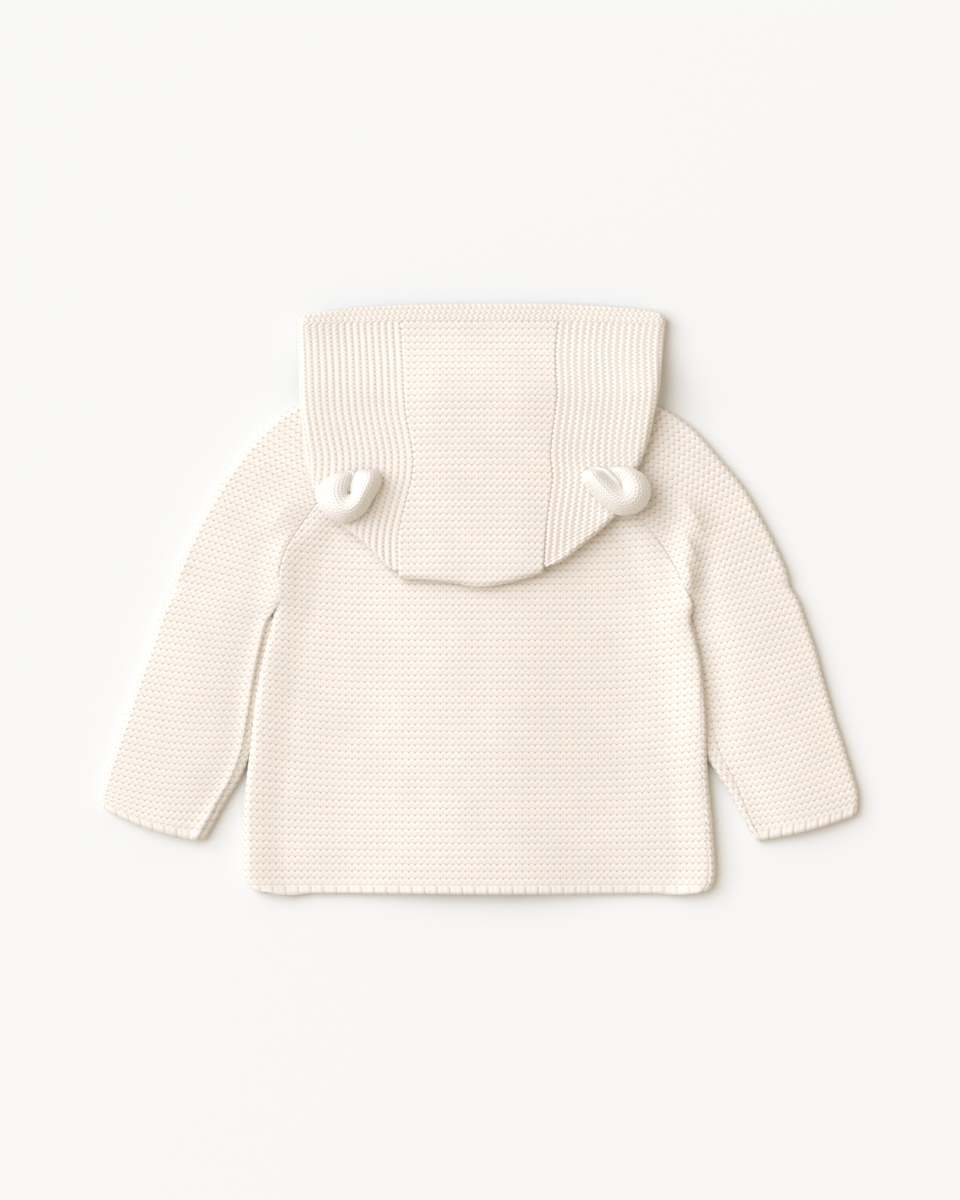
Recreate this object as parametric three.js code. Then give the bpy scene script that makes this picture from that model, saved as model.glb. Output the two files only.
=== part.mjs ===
// A hooded baby cardigan in thick garter knit, laid face down with its back up.
// Millimetres, +Z up. X runs across the body, +Y towards the hood, and z = 0 is the surface it lies on.
// The origin is below the middle of the garment's own box.
import * as THREE from 'three';

// Cloth
const WALL = 3.0;
const SEAM_GAP = 0.3;
const SEAM_TURN = 8;
const LAYER_GAP = 0.3;
const FLAT_END = 0.35;

// Shift that puts the origin below the middle of the garment, whose left sleeve reaches the further out
const TO_MIDDLE_X = 1.3;

// Body: heights of the layers that lie on each other, the front overlap, and the folds at the two sides
const OVERLAP_HALF = 12.5;
const BUTTON_LIFT = 2.7;
const BAND_FLAT = 18;
const BAND_FADE = 30;
const UNDER_FRONT = BUTTON_LIFT + WALL + LAYER_GAP;
const BACK_FLOOR = UNDER_FRONT + WALL + LAYER_GAP;
const BACK_FADE = 44;
const BACK_FLAT = 18;
const SIDE_RADIUS = 4.5;
const SIDE_ROLL = 2 * SIDE_RADIUS - 2 * WALL - LAYER_GAP;
const SIDE_ROLL_WIDTH = 26;
const SIDE_STEPS = 3;
const HEM = -176.7;
const HEM_BOW = 1.2;
const NECK = 110;
const NECK_DIP = 3;
const NECK_HALF = 44;
const BACK_COLUMNS = 13;
const FRONT_COLUMNS = 11;

// Sleeves
const FOLD_STEPS = 5;
const SLEEVE_COLUMNS = 10;
const SLEEVE_UNDER_COLUMNS = 6;
const SLEEVE_RADIUS = 3.5;
const SLEEVE_CROWN = 2.2;
const CAP_CROWN = 1.1;
const CROWN_START = 14;

// Hood
const HOOD_RADIUS = 4.2;
const HOOD_LAYERS = 2 * WALL + 0.6;
const HOOD_FLOOR = BACK_FLOOR + WALL + LAYER_GAP;
const HOOD_SIDE_FLOOR = 10.2;
const HOOD_CROWN = 1.4;
const MOUTH_FLOOR = 1.2;
const MOUTH_TOP = 8.6;
const HOOD_OPENING = 166.8;
const SHOULDER_LINE = 123;
const FLANGE_RAMP = 36;
const TOP_LINE = 118;
const TOP_RAMP = 44;
const FLANGE_NECK = 3;
const FLANGE_FLAT = 28;
const FLANGE_RISE = 16;
const THROAT_X = 8;
const MOUTH_CORNER_X = 100;
const UNDER_GAP = 0.9;
const HOOD_COLUMNS = 8;
const HOOD_UNDER_COLUMNS = 5;
const FLANGE_COLUMNS = 4;
const HOOD_CENTRE_COLUMNS = 8;
const HOOD_CENTRE_ROWS = 15;
const HOOD_CENTRE_UNDER_ROWS = 8;
const BAND_WIDTH = 9.0;
const BAND_LEAST = 4.2;
const BAND_COLUMNS = 2;

// Ears and buttons
const EAR_BASE = HOOD_SIDE_FLOOR + 2 * HOOD_RADIUS + LAYER_GAP;
const EAR_STEPS = 9;
const EAR_ROWS = 17;
const EAR_ROUNDNESS = 0.62;
const BUTTON_RADIUS = 6.5;
const BUTTON_THICKNESS = BUTTON_LIFT - LAYER_GAP;
const BUTTON_RIM = 0.5;
const BUTTON_SIDES = 20;
const BUTTON_COUNT = 5;
const BUTTON_FIRST = -160;
const BUTTON_PITCH = 61;

// The body's two side edges from the hem to the underarm, and how far round the right fold the side seam
// lies, in degrees from the fold's top
const BODY_EDGE = [
  { y: -176.7, leftX: 130.4, rightX: 132.6, seamTurn: 12 },
  { y: -174.6, leftX: 137.2, rightX: 136.9, seamTurn: 12 },
  { y: -170.0, leftX: 141.4, rightX: 139.6, seamTurn: 10 },
  { y: -162.0, leftX: 143.1, rightX: 140.6, seamTurn: 6 },
  { y: -144.0, leftX: 143.3, rightX: 139.6, seamTurn: 0 },
  { y: -126.0, leftX: 143.1, rightX: 138.2, seamTurn: 0 },
  { y: -108.0, leftX: 141.4, rightX: 136.4, seamTurn: 0 },
  { y: -91.0, leftX: 139.5, rightX: 134.7, seamTurn: 0 },
  { y: -76.0, leftX: 138.0, rightX: 133.5, seamTurn: 6 },
  { y: -60.0, leftX: 136.2, rightX: 132.3, seamTurn: 14 },
  { y: -48.0, leftX: 134.4, rightX: 131.3, seamTurn: 34 },
  { y: -37.0, leftX: 132.3, rightX: 129.8, seamTurn: 62 },
  { y: -26.0, leftX: 129.8, rightX: 127.5, seamTurn: 90 },
  { y: -14.0, leftX: 126.7, rightX: 124.4, seamTurn: 90 },
];

// The raglan seams from the underarm to the neck, and the point of the sleeve's outer fold that the row of
// knitting from there reaches. The two sleeves lie at their own angles.
const RAGLAN = {
  left: [
    { x: 122.8, y: 0.0, foldX: 184.6, foldY: 12.0 },
    { x: 121.0, y: 14.0, foldX: 178.3, foldY: 28.0 },
    { x: 116.4, y: 30.0, foldX: 170.2, foldY: 45.0 },
    { x: 108.3, y: 43.0, foldX: 160.6, foldY: 62.0 },
    { x: 97.4, y: 58.0, foldX: 148.8, foldY: 80.2 },
    { x: 80.0, y: 76.0, foldX: 129.4, foldY: 103.0 },
    { x: 61.4, y: 94.0, foldX: 103.0, foldY: 119.0 },
    { x: 44.0, y: 110.0, foldX: 66.0, foldY: 118.0 },
  ],
  right: [
    { x: 123.6, y: 0.0, foldX: 184.2, foldY: 14.6 },
    { x: 118.4, y: 13.0, foldX: 176.6, foldY: 32.5 },
    { x: 111.6, y: 26.0, foldX: 168.6, foldY: 48.0 },
    { x: 103.0, y: 38.6, foldX: 157.8, foldY: 66.6 },
    { x: 91.0, y: 52.6, foldX: 143.6, foldY: 84.0 },
    { x: 76.6, y: 71.0, foldX: 124.2, foldY: 104.8 },
    { x: 60.6, y: 91.6, foldX: 98.6, foldY: 118.4 },
    { x: 44.0, y: 110.0, foldX: 65.0, foldY: 118.0 },
  ],
};

// Sleeves from the underarm to the cuff: the inner and outer folds, how far the row bows towards the cuff,
// and how far in on the upper layer the underarm seam shows
const SLEEVE = {
  left: [
    { x: 127.4, y: -14.0, foldX: 191.0, foldY: -4.6, bow: 0.0, seam: 4.6 },
    { x: 131.2, y: -28.0, foldX: 197.0, foldY: -21.0, bow: 0.6, seam: 4.6 },
    { x: 134.6, y: -44.0, foldX: 202.9, foldY: -38.0, bow: 1.2, seam: 4.8 },
    { x: 137.0, y: -60.0, foldX: 208.8, foldY: -54.6, bow: 1.8, seam: 5.2 },
    { x: 139.0, y: -76.0, foldX: 214.0, foldY: -70.4, bow: 2.4, seam: 6.0 },
    { x: 141.0, y: -91.0, foldX: 219.2, foldY: -85.6, bow: 3.0, seam: 7.0 },
    { x: 145.4, y: -107.0, foldX: 224.2, foldY: -100.6, bow: 3.4, seam: 6.6 },
    { x: 153.0, y: -121.6, foldX: 228.0, foldY: -113.6, bow: 3.8, seam: 5.4 },
    { x: 160.6, y: -135.4, foldX: 229.0, foldY: -119.4, bow: 4.4, seam: 4.8 },
    { x: 166.4, y: -145.4, foldX: 227.6, foldY: -125.6, bow: 2.6, seam: 4.2 },
  ],
  right: [
    { x: 125.0, y: -14.0, foldX: 189.8, foldY: 0.8, bow: 0.0, seam: 4.6 },
    { x: 128.7, y: -28.0, foldX: 195.4, foldY: -14.4, bow: 0.6, seam: 4.8 },
    { x: 131.7, y: -44.0, foldX: 200.6, foldY: -29.2, bow: 1.2, seam: 5.0 },
    { x: 133.0, y: -60.0, foldX: 204.6, foldY: -44.0, bow: 1.8, seam: 6.0 },
    { x: 134.2, y: -76.0, foldX: 209.0, foldY: -59.4, bow: 2.4, seam: 8.0 },
    { x: 136.0, y: -91.0, foldX: 213.2, foldY: -74.0, bow: 3.0, seam: 10.0 },
    { x: 143.4, y: -107.0, foldX: 218.0, foldY: -88.4, bow: 3.6, seam: 9.0 },
    { x: 150.4, y: -120.4, foldX: 222.4, foldY: -102.6, bow: 4.2, seam: 6.5 },
    { x: 156.8, y: -132.6, foldX: 226.4, foldY: -117.6, bow: 4.8, seam: 4.8 },
    { x: 163.4, y: -143.6, foldX: 225.2, foldY: -129.0, bow: 5.6, seam: 4.2 },
  ],
};

// The crease that each sleeve's upper layer makes beside the armhole: where its crest runs and its height
const CREASE = {
  left: [
    { y: 2, x: 123.6, rise: 1.6 },
    { y: 18, x: 122.6, rise: 2.2 },
    { y: 36, x: 119.4, rise: 2.2 },
    { y: 52, x: 124.0, rise: 1.6 },
    { y: 66, x: 130.6, rise: 0.7 },
    { y: 80, x: 138.0, rise: 0.0 },
  ],
  right: [
    { y: 2, x: 125.6, rise: 3.4 },
    { y: 18, x: 125.2, rise: 7.0 },
    { y: 36, x: 125.6, rise: 7.0 },
    { y: 52, x: 127.2, rise: 4.8 },
    { y: 66, x: 129.2, rise: 2.2 },
    { y: 84, x: 136.0, rise: 0.0 },
  ],
};
const CREASE_LEAD = 15;
const CREASE_FALL = 8;

// Hood sides from the opening down: the seam with the centre strip, and the outer fold. The row named by
// NECK_ROW lies along the neck.
const HOOD = {
  left: [
    { x: 48.4, y: 166.8, foldX: 109.6, foldY: 164.4 },
    { x: 47.3, y: 150.0, foldX: 109.7, foldY: 151.0 },
    { x: 46.5, y: 136.0, foldX: 109.4, foldY: 137.0 },
    { x: 46.0, y: 123.0, foldX: 109.0, foldY: 124.0 },
    { x: 45.0, y: 111.4, foldX: 108.3, foldY: 111.8 },
    { x: 42.4, y: 97.6, foldX: 107.3, foldY: 96.4 },
    { x: 40.5, y: 86.0, foldX: 105.6, foldY: 84.0 },
    { x: 41.1, y: 73.6, foldX: 103.0, foldY: 72.4 },
    { x: 43.7, y: 62.6, foldX: 99.4, foldY: 61.6 },
    { x: 46.4, y: 52.4, foldX: 92.6, foldY: 51.4 },
    { x: 48.6, y: 42.4, foldX: 81.6, foldY: 42.6 },
    { x: 49.6, y: 32.6, foldX: 71.0, foldY: 33.6 },
    { x: 49.4, y: 23.0, foldX: 61.8, foldY: 24.2 },
    { x: 49.2, y: 17.0, foldX: 56.4, foldY: 18.8 },
  ],
  right: [
    { x: 46.0, y: 166.8, foldX: 110.6, foldY: 164.4 },
    { x: 44.4, y: 150.0, foldX: 109.3, foldY: 151.0 },
    { x: 44.5, y: 136.0, foldX: 107.9, foldY: 137.0 },
    { x: 45.1, y: 123.0, foldX: 106.4, foldY: 124.0 },
    { x: 43.9, y: 111.4, foldX: 104.1, foldY: 111.8 },
    { x: 42.2, y: 97.6, foldX: 100.8, foldY: 97.6 },
    { x: 41.2, y: 86.0, foldX: 97.2, foldY: 86.0 },
    { x: 42.4, y: 73.6, foldX: 92.0, foldY: 74.4 },
    { x: 41.2, y: 62.6, foldX: 87.4, foldY: 63.4 },
    { x: 39.8, y: 52.4, foldX: 82.0, foldY: 52.0 },
    { x: 38.6, y: 42.4, foldX: 72.8, foldY: 42.4 },
    { x: 37.8, y: 32.6, foldX: 60.4, foldY: 32.0 },
    { x: 37.2, y: 24.0, foldX: 50.8, foldY: 24.4 },
    { x: 36.9, y: 20.0, foldX: 44.6, foldY: 20.6 },
  ],
};
const NECK_ROW = 4;

// Lower fold of the hood's centre strip across its width, 0 at the left seam and 1 at the right seam
const HOOD_FOOT = [
  { across: 0.0, y: 11.8 },
  { across: 0.2, y: 11.0 },
  { across: 0.4, y: 9.0 },
  { across: 0.56, y: 6.8 },
  { across: 0.75, y: 9.4 },
  { across: 0.9, y: 12.6 },
  { across: 1.0, y: 15.6 },
];

// Free edge of the band round the opening, across the top of the hood
const BAND_EDGE = [
  { x: -111, y: 168.4 },
  { x: -104, y: 170.2 },
  { x: -75, y: 174.2 },
  { x: -44, y: 176.0 },
  { x: 9, y: 176.7 },
  { x: 48, y: 176.4 },
  { x: 93, y: 173.4 },
  { x: 106, y: 171.0 },
  { x: 112, y: 168.4 },
];

// Ears, each folded like a cup about a slit. A row crosses the ear from the slit to its outer edge, turn is
// the row's place round the slit, and rise is how far its crest stands above the hood.
const EAR = {
  left: [
    { turn: 0.0, x: -76.8, y: 77.6, edgeX: -91.6, edgeY: 74.6, rise: 7.5 },
    { turn: 0.13, x: -77.8, y: 73.0, edgeX: -98.4, edgeY: 66.0, rise: 11.0 },
    { turn: 0.26, x: -79.6, y: 68.6, edgeX: -97.8, edgeY: 56.6, rise: 13.0 },
    { turn: 0.38, x: -80.4, y: 65.0, edgeX: -91.0, edgeY: 48.4, rise: 14.0 },
    { turn: 0.5, x: -78.6, y: 63.6, edgeX: -81.0, edgeY: 45.2, rise: 14.5 },
    { turn: 0.62, x: -77.2, y: 65.4, edgeX: -70.6, edgeY: 50.6, rise: 15.0 },
    { turn: 0.75, x: -76.2, y: 69.4, edgeX: -64.0, edgeY: 60.6, rise: 15.0 },
    { turn: 0.87, x: -74.6, y: 74.0, edgeX: -59.6, edgeY: 69.6, rise: 14.5 },
    { turn: 1.0, x: -73.2, y: 78.4, edgeX: -60.2, edgeY: 77.6, rise: 12.0 },
  ],
  right: [
    { turn: 0.0, x: 68.4, y: 80.0, edgeX: 58.6, edgeY: 76.0, rise: 13.0 },
    { turn: 0.13, x: 72.6, y: 76.6, edgeX: 61.0, edgeY: 69.2, rise: 15.0 },
    { turn: 0.26, x: 77.0, y: 73.0, edgeX: 66.6, edgeY: 61.6, rise: 15.5 },
    { turn: 0.38, x: 80.6, y: 70.0, edgeX: 73.6, edgeY: 54.6, rise: 15.0 },
    { turn: 0.5, x: 83.0, y: 68.6, edgeX: 83.4, edgeY: 49.8, rise: 14.0 },
    { turn: 0.62, x: 84.4, y: 69.6, edgeX: 95.6, edgeY: 53.0, rise: 13.0 },
    { turn: 0.75, x: 83.4, y: 72.6, edgeX: 101.4, edgeY: 62.6, rise: 12.0 },
    { turn: 0.87, x: 80.2, y: 76.0, edgeX: 99.4, edgeY: 71.6, rise: 10.5 },
    { turn: 1.0, x: 76.0, y: 80.0, edgeX: 92.0, edgeY: 79.6, rise: 8.0 },
  ],
};

// Looks of each kind of piece
const COTTON = { color: 0xf1e7d8, roughness: 0.95, metalness: 0 };
const EAR_COTTON = { color: 0xf5f1ea, roughness: 0.95, metalness: 0 };
const WOOD = { color: 0xc9a071, roughness: 0.55, metalness: 0 };

/** Smooth step from 0 to 1 */
function ease(amount) {
  const t = THREE.MathUtils.clamp(amount, 0, 1);
  return t * t * (3 - 2 * t);
}

/** Straight mix of two numbers */
function mix(a, b, t) {
  return a + (b - a) * t;
}

/** Value of a column at a key, on a smooth curve through a table's rows */
function read(rows, keyName, name, key) {
  const last = rows.length - 1;
  let k = 0;
  while (k < last - 1 && key > rows[k + 1][keyName]) k += 1;
  const slope = (i) => {
    const a = rows[Math.max(i - 1, 0)];
    const b = rows[Math.min(i + 1, last)];
    return (b[name] - a[name]) / (b[keyName] - a[keyName]);
  };
  const from = rows[k];
  const to = rows[k + 1];
  const span = to[keyName] - from[keyName];
  const t = THREE.MathUtils.clamp((key - from[keyName]) / span, 0, 1);
  const bend = mix(from[name], to[name], t * t * (3 - 2 * t));
  return bend + span * t * (1 - t) * ((1 - t) * slope(k) - t * slope(k + 1));
}

/** Direction of a row at one of its points, carried on past the last pieces of a curve at its ends */
function heading(profile, k) {
  const step = (i) => {
    const [dq, dz] = [profile[i + 1][0] - profile[i][0], profile[i + 1][1] - profile[i][1]];
    return [dq / Math.hypot(dq, dz), dz / Math.hypot(dq, dz)];
  };
  const last = profile.length - 2;
  const mixed = (near, far) => [1.5 * near[0] - 0.5 * far[0], 1.5 * near[1] - 0.5 * far[1]];
  if (k === 0) return mixed(step(0), step(1));
  if (k > last) return mixed(step(last), step(last - 1));
  const [before, after] = [step(k - 1), step(k)];
  return [before[0] + after[0], before[1] + after[1]];
}

/** A row's own inner line: its places and heights moved in by the cloth's thickness, right of its run */
function inset(profile) {
  return profile.map(([q, z], k) => {
    const [dq, dz] = heading(profile, k);
    const end = k === 0 || k === profile.length - 1;
    const flat = end && Math.abs(dz) < FLAT_END * Math.abs(dq);
    const length = flat ? Math.abs(dq) : Math.hypot(dq, dz);
    return [q + (flat ? 0 : WALL * dz / length), z - WALL * dq / length];
  });
}

/** One row of cloth: its outer and inner points in space. place turns a place and a height into a point. */
function clothRow(profile, place) {
  return { outer: profile.map(place), inner: inset(profile).map(place) };
}

/**
 * A closed cloth wall through rows of outer and inner points, with a rim round every open edge. side -1
 * mirrors it in X. keep leaves cells out, and lowest is a height that no inner point goes below.
 */
function wall(rows, { side = 1, keep = () => true, lowest = -Infinity } = {}) {
  const columns = rows[0].outer.length;
  const cells = [];
  for (let i = 0; i < rows.length - 1; i += 1) {
    for (let j = 0; j < columns - 1; j += 1) {
      if (!keep(i, j)) continue;
      const low = i * columns + j;
      const high = low + columns;
      cells.push(side < 0 ? [high, high + 1, low + 1, low] : [low, low + 1, high + 1, high]);
    }
  }
  const used = new Map();
  cells.flat().forEach((k) => used.has(k) || used.set(k, used.size));
  const outer = rows.flatMap((row) => row.outer);
  const inner = rows.flatMap((row) => row.inner);
  const position = [];
  for (const k of used.keys()) position.push(side * outer[k].x, outer[k].y, outer[k].z);
  for (const k of used.keys()) position.push(side * inner[k].x, inner[k].y, Math.max(inner[k].z, lowest));
  const count = used.size;
  const index = [];
  const edges = new Map();
  for (const cell of cells) {
    const [a, b, c, d] = cell.map((k) => used.get(k));
    index.push(a, b, c, a, c, d);
    index.push(count + c, count + b, count + a, count + d, count + c, count + a);
    for (const [from, to] of [[a, b], [b, c], [c, d], [d, a]]) edges.set(`${from} ${to}`, [from, to]);
  }
  for (const [from, to] of edges.values()) {
    if (edges.has(`${to} ${from}`)) continue;
    index.push(to, from, count + from, to, count + from, count + to);
  }
  const geometry = new THREE.BufferGeometry();
  geometry.setAttribute('position', new THREE.Float32BufferAttribute(position, 3));
  geometry.setIndex(index);
  return geometry;
}

/** Places and heights along a straight run of a row, with both its ends */
function run(from, to, steps, height) {
  return Array.from({ length: steps + 1 }, (_, k) => {
    const q = mix(from, to, k / steps);
    return [q, height(q)];
  });
}

/** Places and heights round a fold. Angles are in degrees from its top; side is 1 at the row's far end. */
function fold(q, z, radius, fromTurn, toTurn, steps, side) {
  return Array.from({ length: steps + 1 }, (_, k) => {
    const angle = THREE.MathUtils.degToRad(mix(fromTurn, toTurn, k / steps));
    return [q + side * radius * Math.sin(angle), z + radius * Math.cos(angle)];
  });
}

/** Turns a row's places and heights into points, from one point in plan to another, bowed down between */
function rowPlacer(from, to, bow) {
  const width = from.distanceTo(to);
  const along = to.clone().sub(from).divideScalar(width);
  return ([q, z]) => {
    const sag = bow * Math.sin(Math.PI * THREE.MathUtils.clamp(q / width, 0, 1));
    return new THREE.Vector3(from.x + along.x * q, from.y + along.y * q - sag, z);
  };
}

/** Height of the lower face of the back over the surface. edge is the body's half width in that row. */
function backFloor(x, y, edge) {
  const side = WALL + LAYER_GAP;
  const centre = mix(BACK_FLOOR, side, ease((Math.abs(x) - BACK_FLAT) / BACK_FADE));
  const roll = SIDE_ROLL * ease((Math.abs(x) - edge + SIDE_ROLL_WIDTH) / (SIDE_ROLL_WIDTH - SIDE_RADIUS));
  return centre + roll * ease((NECK - y) / 70);
}

/** Height of the lower face of a front, x measured towards its own side. The left front lies outermost. */
function frontFloor(x, side) {
  const near = side < 0 ? BUTTON_LIFT : UNDER_FRONT;
  return near * (1 - ease((x - BAND_FLAT) / BAND_FADE));
}

/** Rows of the body from hem to neck: its edges in plan, the right seam's turn, and if it is folded */
function bodyRows() {
  const below = BODY_EDGE.map(({ y, leftX, rightX, seamTurn }) => ({
    left: new THREE.Vector2(-leftX, y),
    right: new THREE.Vector2(rightX, y),
    seamTurn,
    folded: true,
  }));
  const above = RAGLAN.left.map((left, k) => ({
    left: new THREE.Vector2(-left.x, left.y),
    right: new THREE.Vector2(RAGLAN.right[k].x, RAGLAN.right[k].y),
    seamTurn: 90,
    folded: false,
  }));
  return [...below, ...above];
}

/** Height on the garment of a body row at x. The hem bows down at the middle, and so does the neck. */
function bodyY(row, x) {
  const t = (x - row.left.x) / (row.right.x - row.left.x);
  const y = mix(row.left.y, row.right.y, t);
  const middle = 1 - Math.min(Math.abs(x) / 120, 1) ** 2;
  const bow = HEM_BOW * middle * ease((20 - y) / 60) * ease((y - HEM) / 40);
  const dip = NECK_DIP * ease((y - 60) / 50) * (1 - Math.min(Math.abs(x) / NECK_HALF, 1) ** 2);
  return y - bow - dip;
}

/** The back: one panel from the hem to the neck, with its side and raglan edges */
function back() {
  const rows = bodyRows().map((row) => {
    const left = -row.left.x;
    const right = row.right.x;
    const level = (x) => backFloor(x, row.left.y, x < 0 ? left : right) + WALL;
    const rise = (x) => (row.folded ? 0 : creaseRise(Math.sign(x), Math.abs(x), bodyY(row, x)));
    const height = (x) => level(x) + rise(x);
    const rightTurn = Math.max(row.seamTurn - SEAM_TURN, 1);
    const leftFold = row.folded
      ? fold(SIDE_RADIUS - left, SIDE_RADIUS, SIDE_RADIUS, 90 - SEAM_TURN, 0, SIDE_STEPS, -1)
      : run(-left, SIDE_RADIUS - left, SIDE_STEPS, height);
    const rightFold = row.folded
      ? fold(right - SIDE_RADIUS, SIDE_RADIUS, SIDE_RADIUS, 0, rightTurn, SIDE_STEPS, 1)
      : run(right - SIDE_RADIUS, right, SIDE_STEPS, height);
    const middle = run(SIDE_RADIUS - left, right - SIDE_RADIUS, BACK_COLUMNS, height).slice(1, -1);
    const place = ([x, z]) => new THREE.Vector3(x, bodyY(row, x), z);
    return clothRow([...leftFold, ...middle, ...rightFold], place);
  });
  return wall(rows);
}

/** One front, from its side and raglan edge past the middle by half the overlap */
function front(side) {
  const rows = bodyRows().map((row) => {
    const edge = side < 0 ? -row.left.x : row.right.x;
    const height = (x) => frontFloor(x, side);
    const turn = side < 0 ? 90 + SEAM_TURN : row.seamTurn + SEAM_TURN;
    const sideFold = row.folded
      ? fold(edge - SIDE_RADIUS, SIDE_RADIUS, SIDE_RADIUS, turn, 180, SIDE_STEPS + 2, 1)
      : run(edge, edge - SIDE_RADIUS, SIDE_STEPS + 2, height);
    const flat = run(edge - SIDE_RADIUS, -OVERLAP_HALF, FRONT_COLUMNS, height).slice(1);
    const place = ([x, z]) => new THREE.Vector3(x, bodyY(row, side * x), z);
    return clothRow([...sideFold, ...flat], place);
  });
  return wall(rows, { side });
}

/** Rise of the crease in a sleeve's upper layer at a point in plan */
function creaseRise(side, x, y) {
  const rows = side < 0 ? CREASE.left : CREASE.right;
  if (y > rows[rows.length - 1].y || y < rows[0].y - CREASE_LEAD) return 0;
  const off = x - read(rows, 'y', 'x', y);
  const shape = off < 0 ? ease(1 + off / CREASE_LEAD) : 1 - ease(off / CREASE_FALL);
  return read(rows, 'y', 'rise', y) * shape * ease((y - rows[0].y + CREASE_LEAD) / CREASE_LEAD);
}

/** One sleeve: a single sheet from its seam on the upper layer, over the outer fold and back beneath */
function sleeve(side) {
  const armhole = [...(side < 0 ? RAGLAN.left : RAGLAN.right)].reverse();
  const tube = side < 0 ? SLEEVE.left : SLEEVE.right;
  const gap = 2 * SEAM_GAP;
  const rows = [...armhole, ...tube].map((row) => {
    const folded = row.seam !== undefined;
    const from = new THREE.Vector2(row.x + gap, row.y + (folded ? 0 : gap));
    const to = new THREE.Vector2(row.foldX, row.foldY);
    const width = from.distanceTo(to);
    const turn = width - SLEEVE_RADIUS;
    const place = rowPlacer(from, to, row.bow ?? 0);
    const first = folded ? row.seam : 0;
    const seamTop = folded ? 2 * SLEEVE_RADIUS : backFloor(row.x, row.y, row.x) + WALL;
    const crown = folded ? SLEEVE_CROWN : CAP_CROWN;
    const top = (q) => {
      const level = mix(seamTop, 2 * SLEEVE_RADIUS, ease(q / turn / 0.7));
      const start = folded ? ease(q / CROWN_START) : 1;
      const puff = crown * start * Math.sin(Math.PI * THREE.MathUtils.clamp(q / turn, 0, 1));
      const p = place([q, 0]);
      return level + puff + creaseRise(side, p.x, p.y);
    };
    const inner = folded
      ? [
        ...fold(SLEEVE_RADIUS, SLEEVE_RADIUS, SLEEVE_RADIUS, 180, 360, FOLD_STEPS, 1).slice(1),
        [first - SEAM_GAP, top(first)],
      ]
      : run(SLEEVE_RADIUS, 0, FOLD_STEPS + 1, () => 0).slice(1);
    const profile = [
      ...run(first, turn, SLEEVE_COLUMNS, top),
      ...fold(turn, SLEEVE_RADIUS, SLEEVE_RADIUS, 0, 180, FOLD_STEPS, 1).slice(1),
      ...run(turn, SLEEVE_RADIUS, SLEEVE_UNDER_COLUMNS, () => 0).slice(1),
      ...inner,
    ];
    return clothRow(profile, place);
  });
  return wall([...rows].reverse(), { side });
}

/** Height of the hood's lower layer over the body */
function drapeFloor(x) {
  return mix(HOOD_FLOOR, HOOD_SIDE_FLOOR, ease((Math.abs(x) - BACK_FLAT) / BACK_FADE));
}

/** Height of the hood's lower layer beyond the shoulders, down to the surface at its opening */
function flangeFloor(x, y) {
  const near = mix(FLANGE_NECK, drapeFloor(x), ease((Math.abs(x) - FLANGE_FLAT) / FLANGE_RISE));
  return mix(near, MOUTH_FLOOR, ease((y - SHOULDER_LINE) / FLANGE_RAMP));
}

/** Height of the hood's upper face */
function hoodTop(x, y) {
  return mix(drapeFloor(x) + HOOD_LAYERS + HOOD_CROWN, MOUTH_TOP, ease((y - TOP_LINE) / TOP_RAMP));
}

/** Rows of one hood side: from the seam with the centre strip, round the outer fold, and back beneath */
function hoodSideRows(side) {
  const rows = side < 0 ? HOOD.left : HOOD.right;
  const neck = rows[NECK_ROW];
  const throatSpan = neck.foldX - THROAT_X;
  const sharedPart = (neck.foldX - neck.x - SEAM_GAP) / throatSpan;
  return rows.map((row, k) => {
    const from = new THREE.Vector2(row.x + SEAM_GAP, row.y);
    const to = new THREE.Vector2(row.foldX, row.foldY);
    const width = from.distanceTo(to);
    const turn = width - HOOD_RADIUS;
    const place = rowPlacer(from, to, 0);
    const floorAt = (q) => {
      const p = place([q, 0]);
      return k < NECK_ROW || q < 0 ? flangeFloor(p.x, p.y) : Math.max(drapeFloor(p.x), flangeFloor(p.x, p.y));
    };
    const low = floorAt(turn);
    const topAt = (q) => {
      const p = place([q, 0]);
      return mix(hoodTop(p.x, p.y), low + 2 * HOOD_RADIUS, ease((q / turn - 0.5) / 0.5));
    };
    const mouth = mix(MOUTH_CORNER_X, THROAT_X, (rows[0].y - row.y) / (rows[0].y - neck.y));
    const end = mouth - row.x - SEAM_GAP;
    const split = k > NECK_ROW ? UNDER_GAP : width - (row.foldX - mouth) * sharedPart;
    const flange = k > NECK_ROW
      ? run(split, split - FLANGE_COLUMNS, FLANGE_COLUMNS, () => low)
      : run(split, end, FLANGE_COLUMNS, floorAt);
    const profile = [
      ...run(0, turn, HOOD_COLUMNS, topAt),
      ...fold(turn, low + HOOD_RADIUS, HOOD_RADIUS, 0, 180, FOLD_STEPS, 1).slice(1),
      ...run(turn, split, HOOD_UNDER_COLUMNS, floorAt).slice(1),
      ...flange.slice(1),
    ];
    return clothRow(profile, place);
  });
}

/** One hood side. Below the neck its lower layer stops at the centre strip, so the neck stays open. */
function hoodSide(side) {
  const rows = hoodSideRows(side);
  const split = rows[0].outer.length - 1 - FLANGE_COLUMNS;
  const keep = (i, j) => i < NECK_ROW || j < split;
  return wall(rows.reverse(), { side, keep: (i, j) => keep(rows.length - 2 - i, j) });
}

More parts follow.
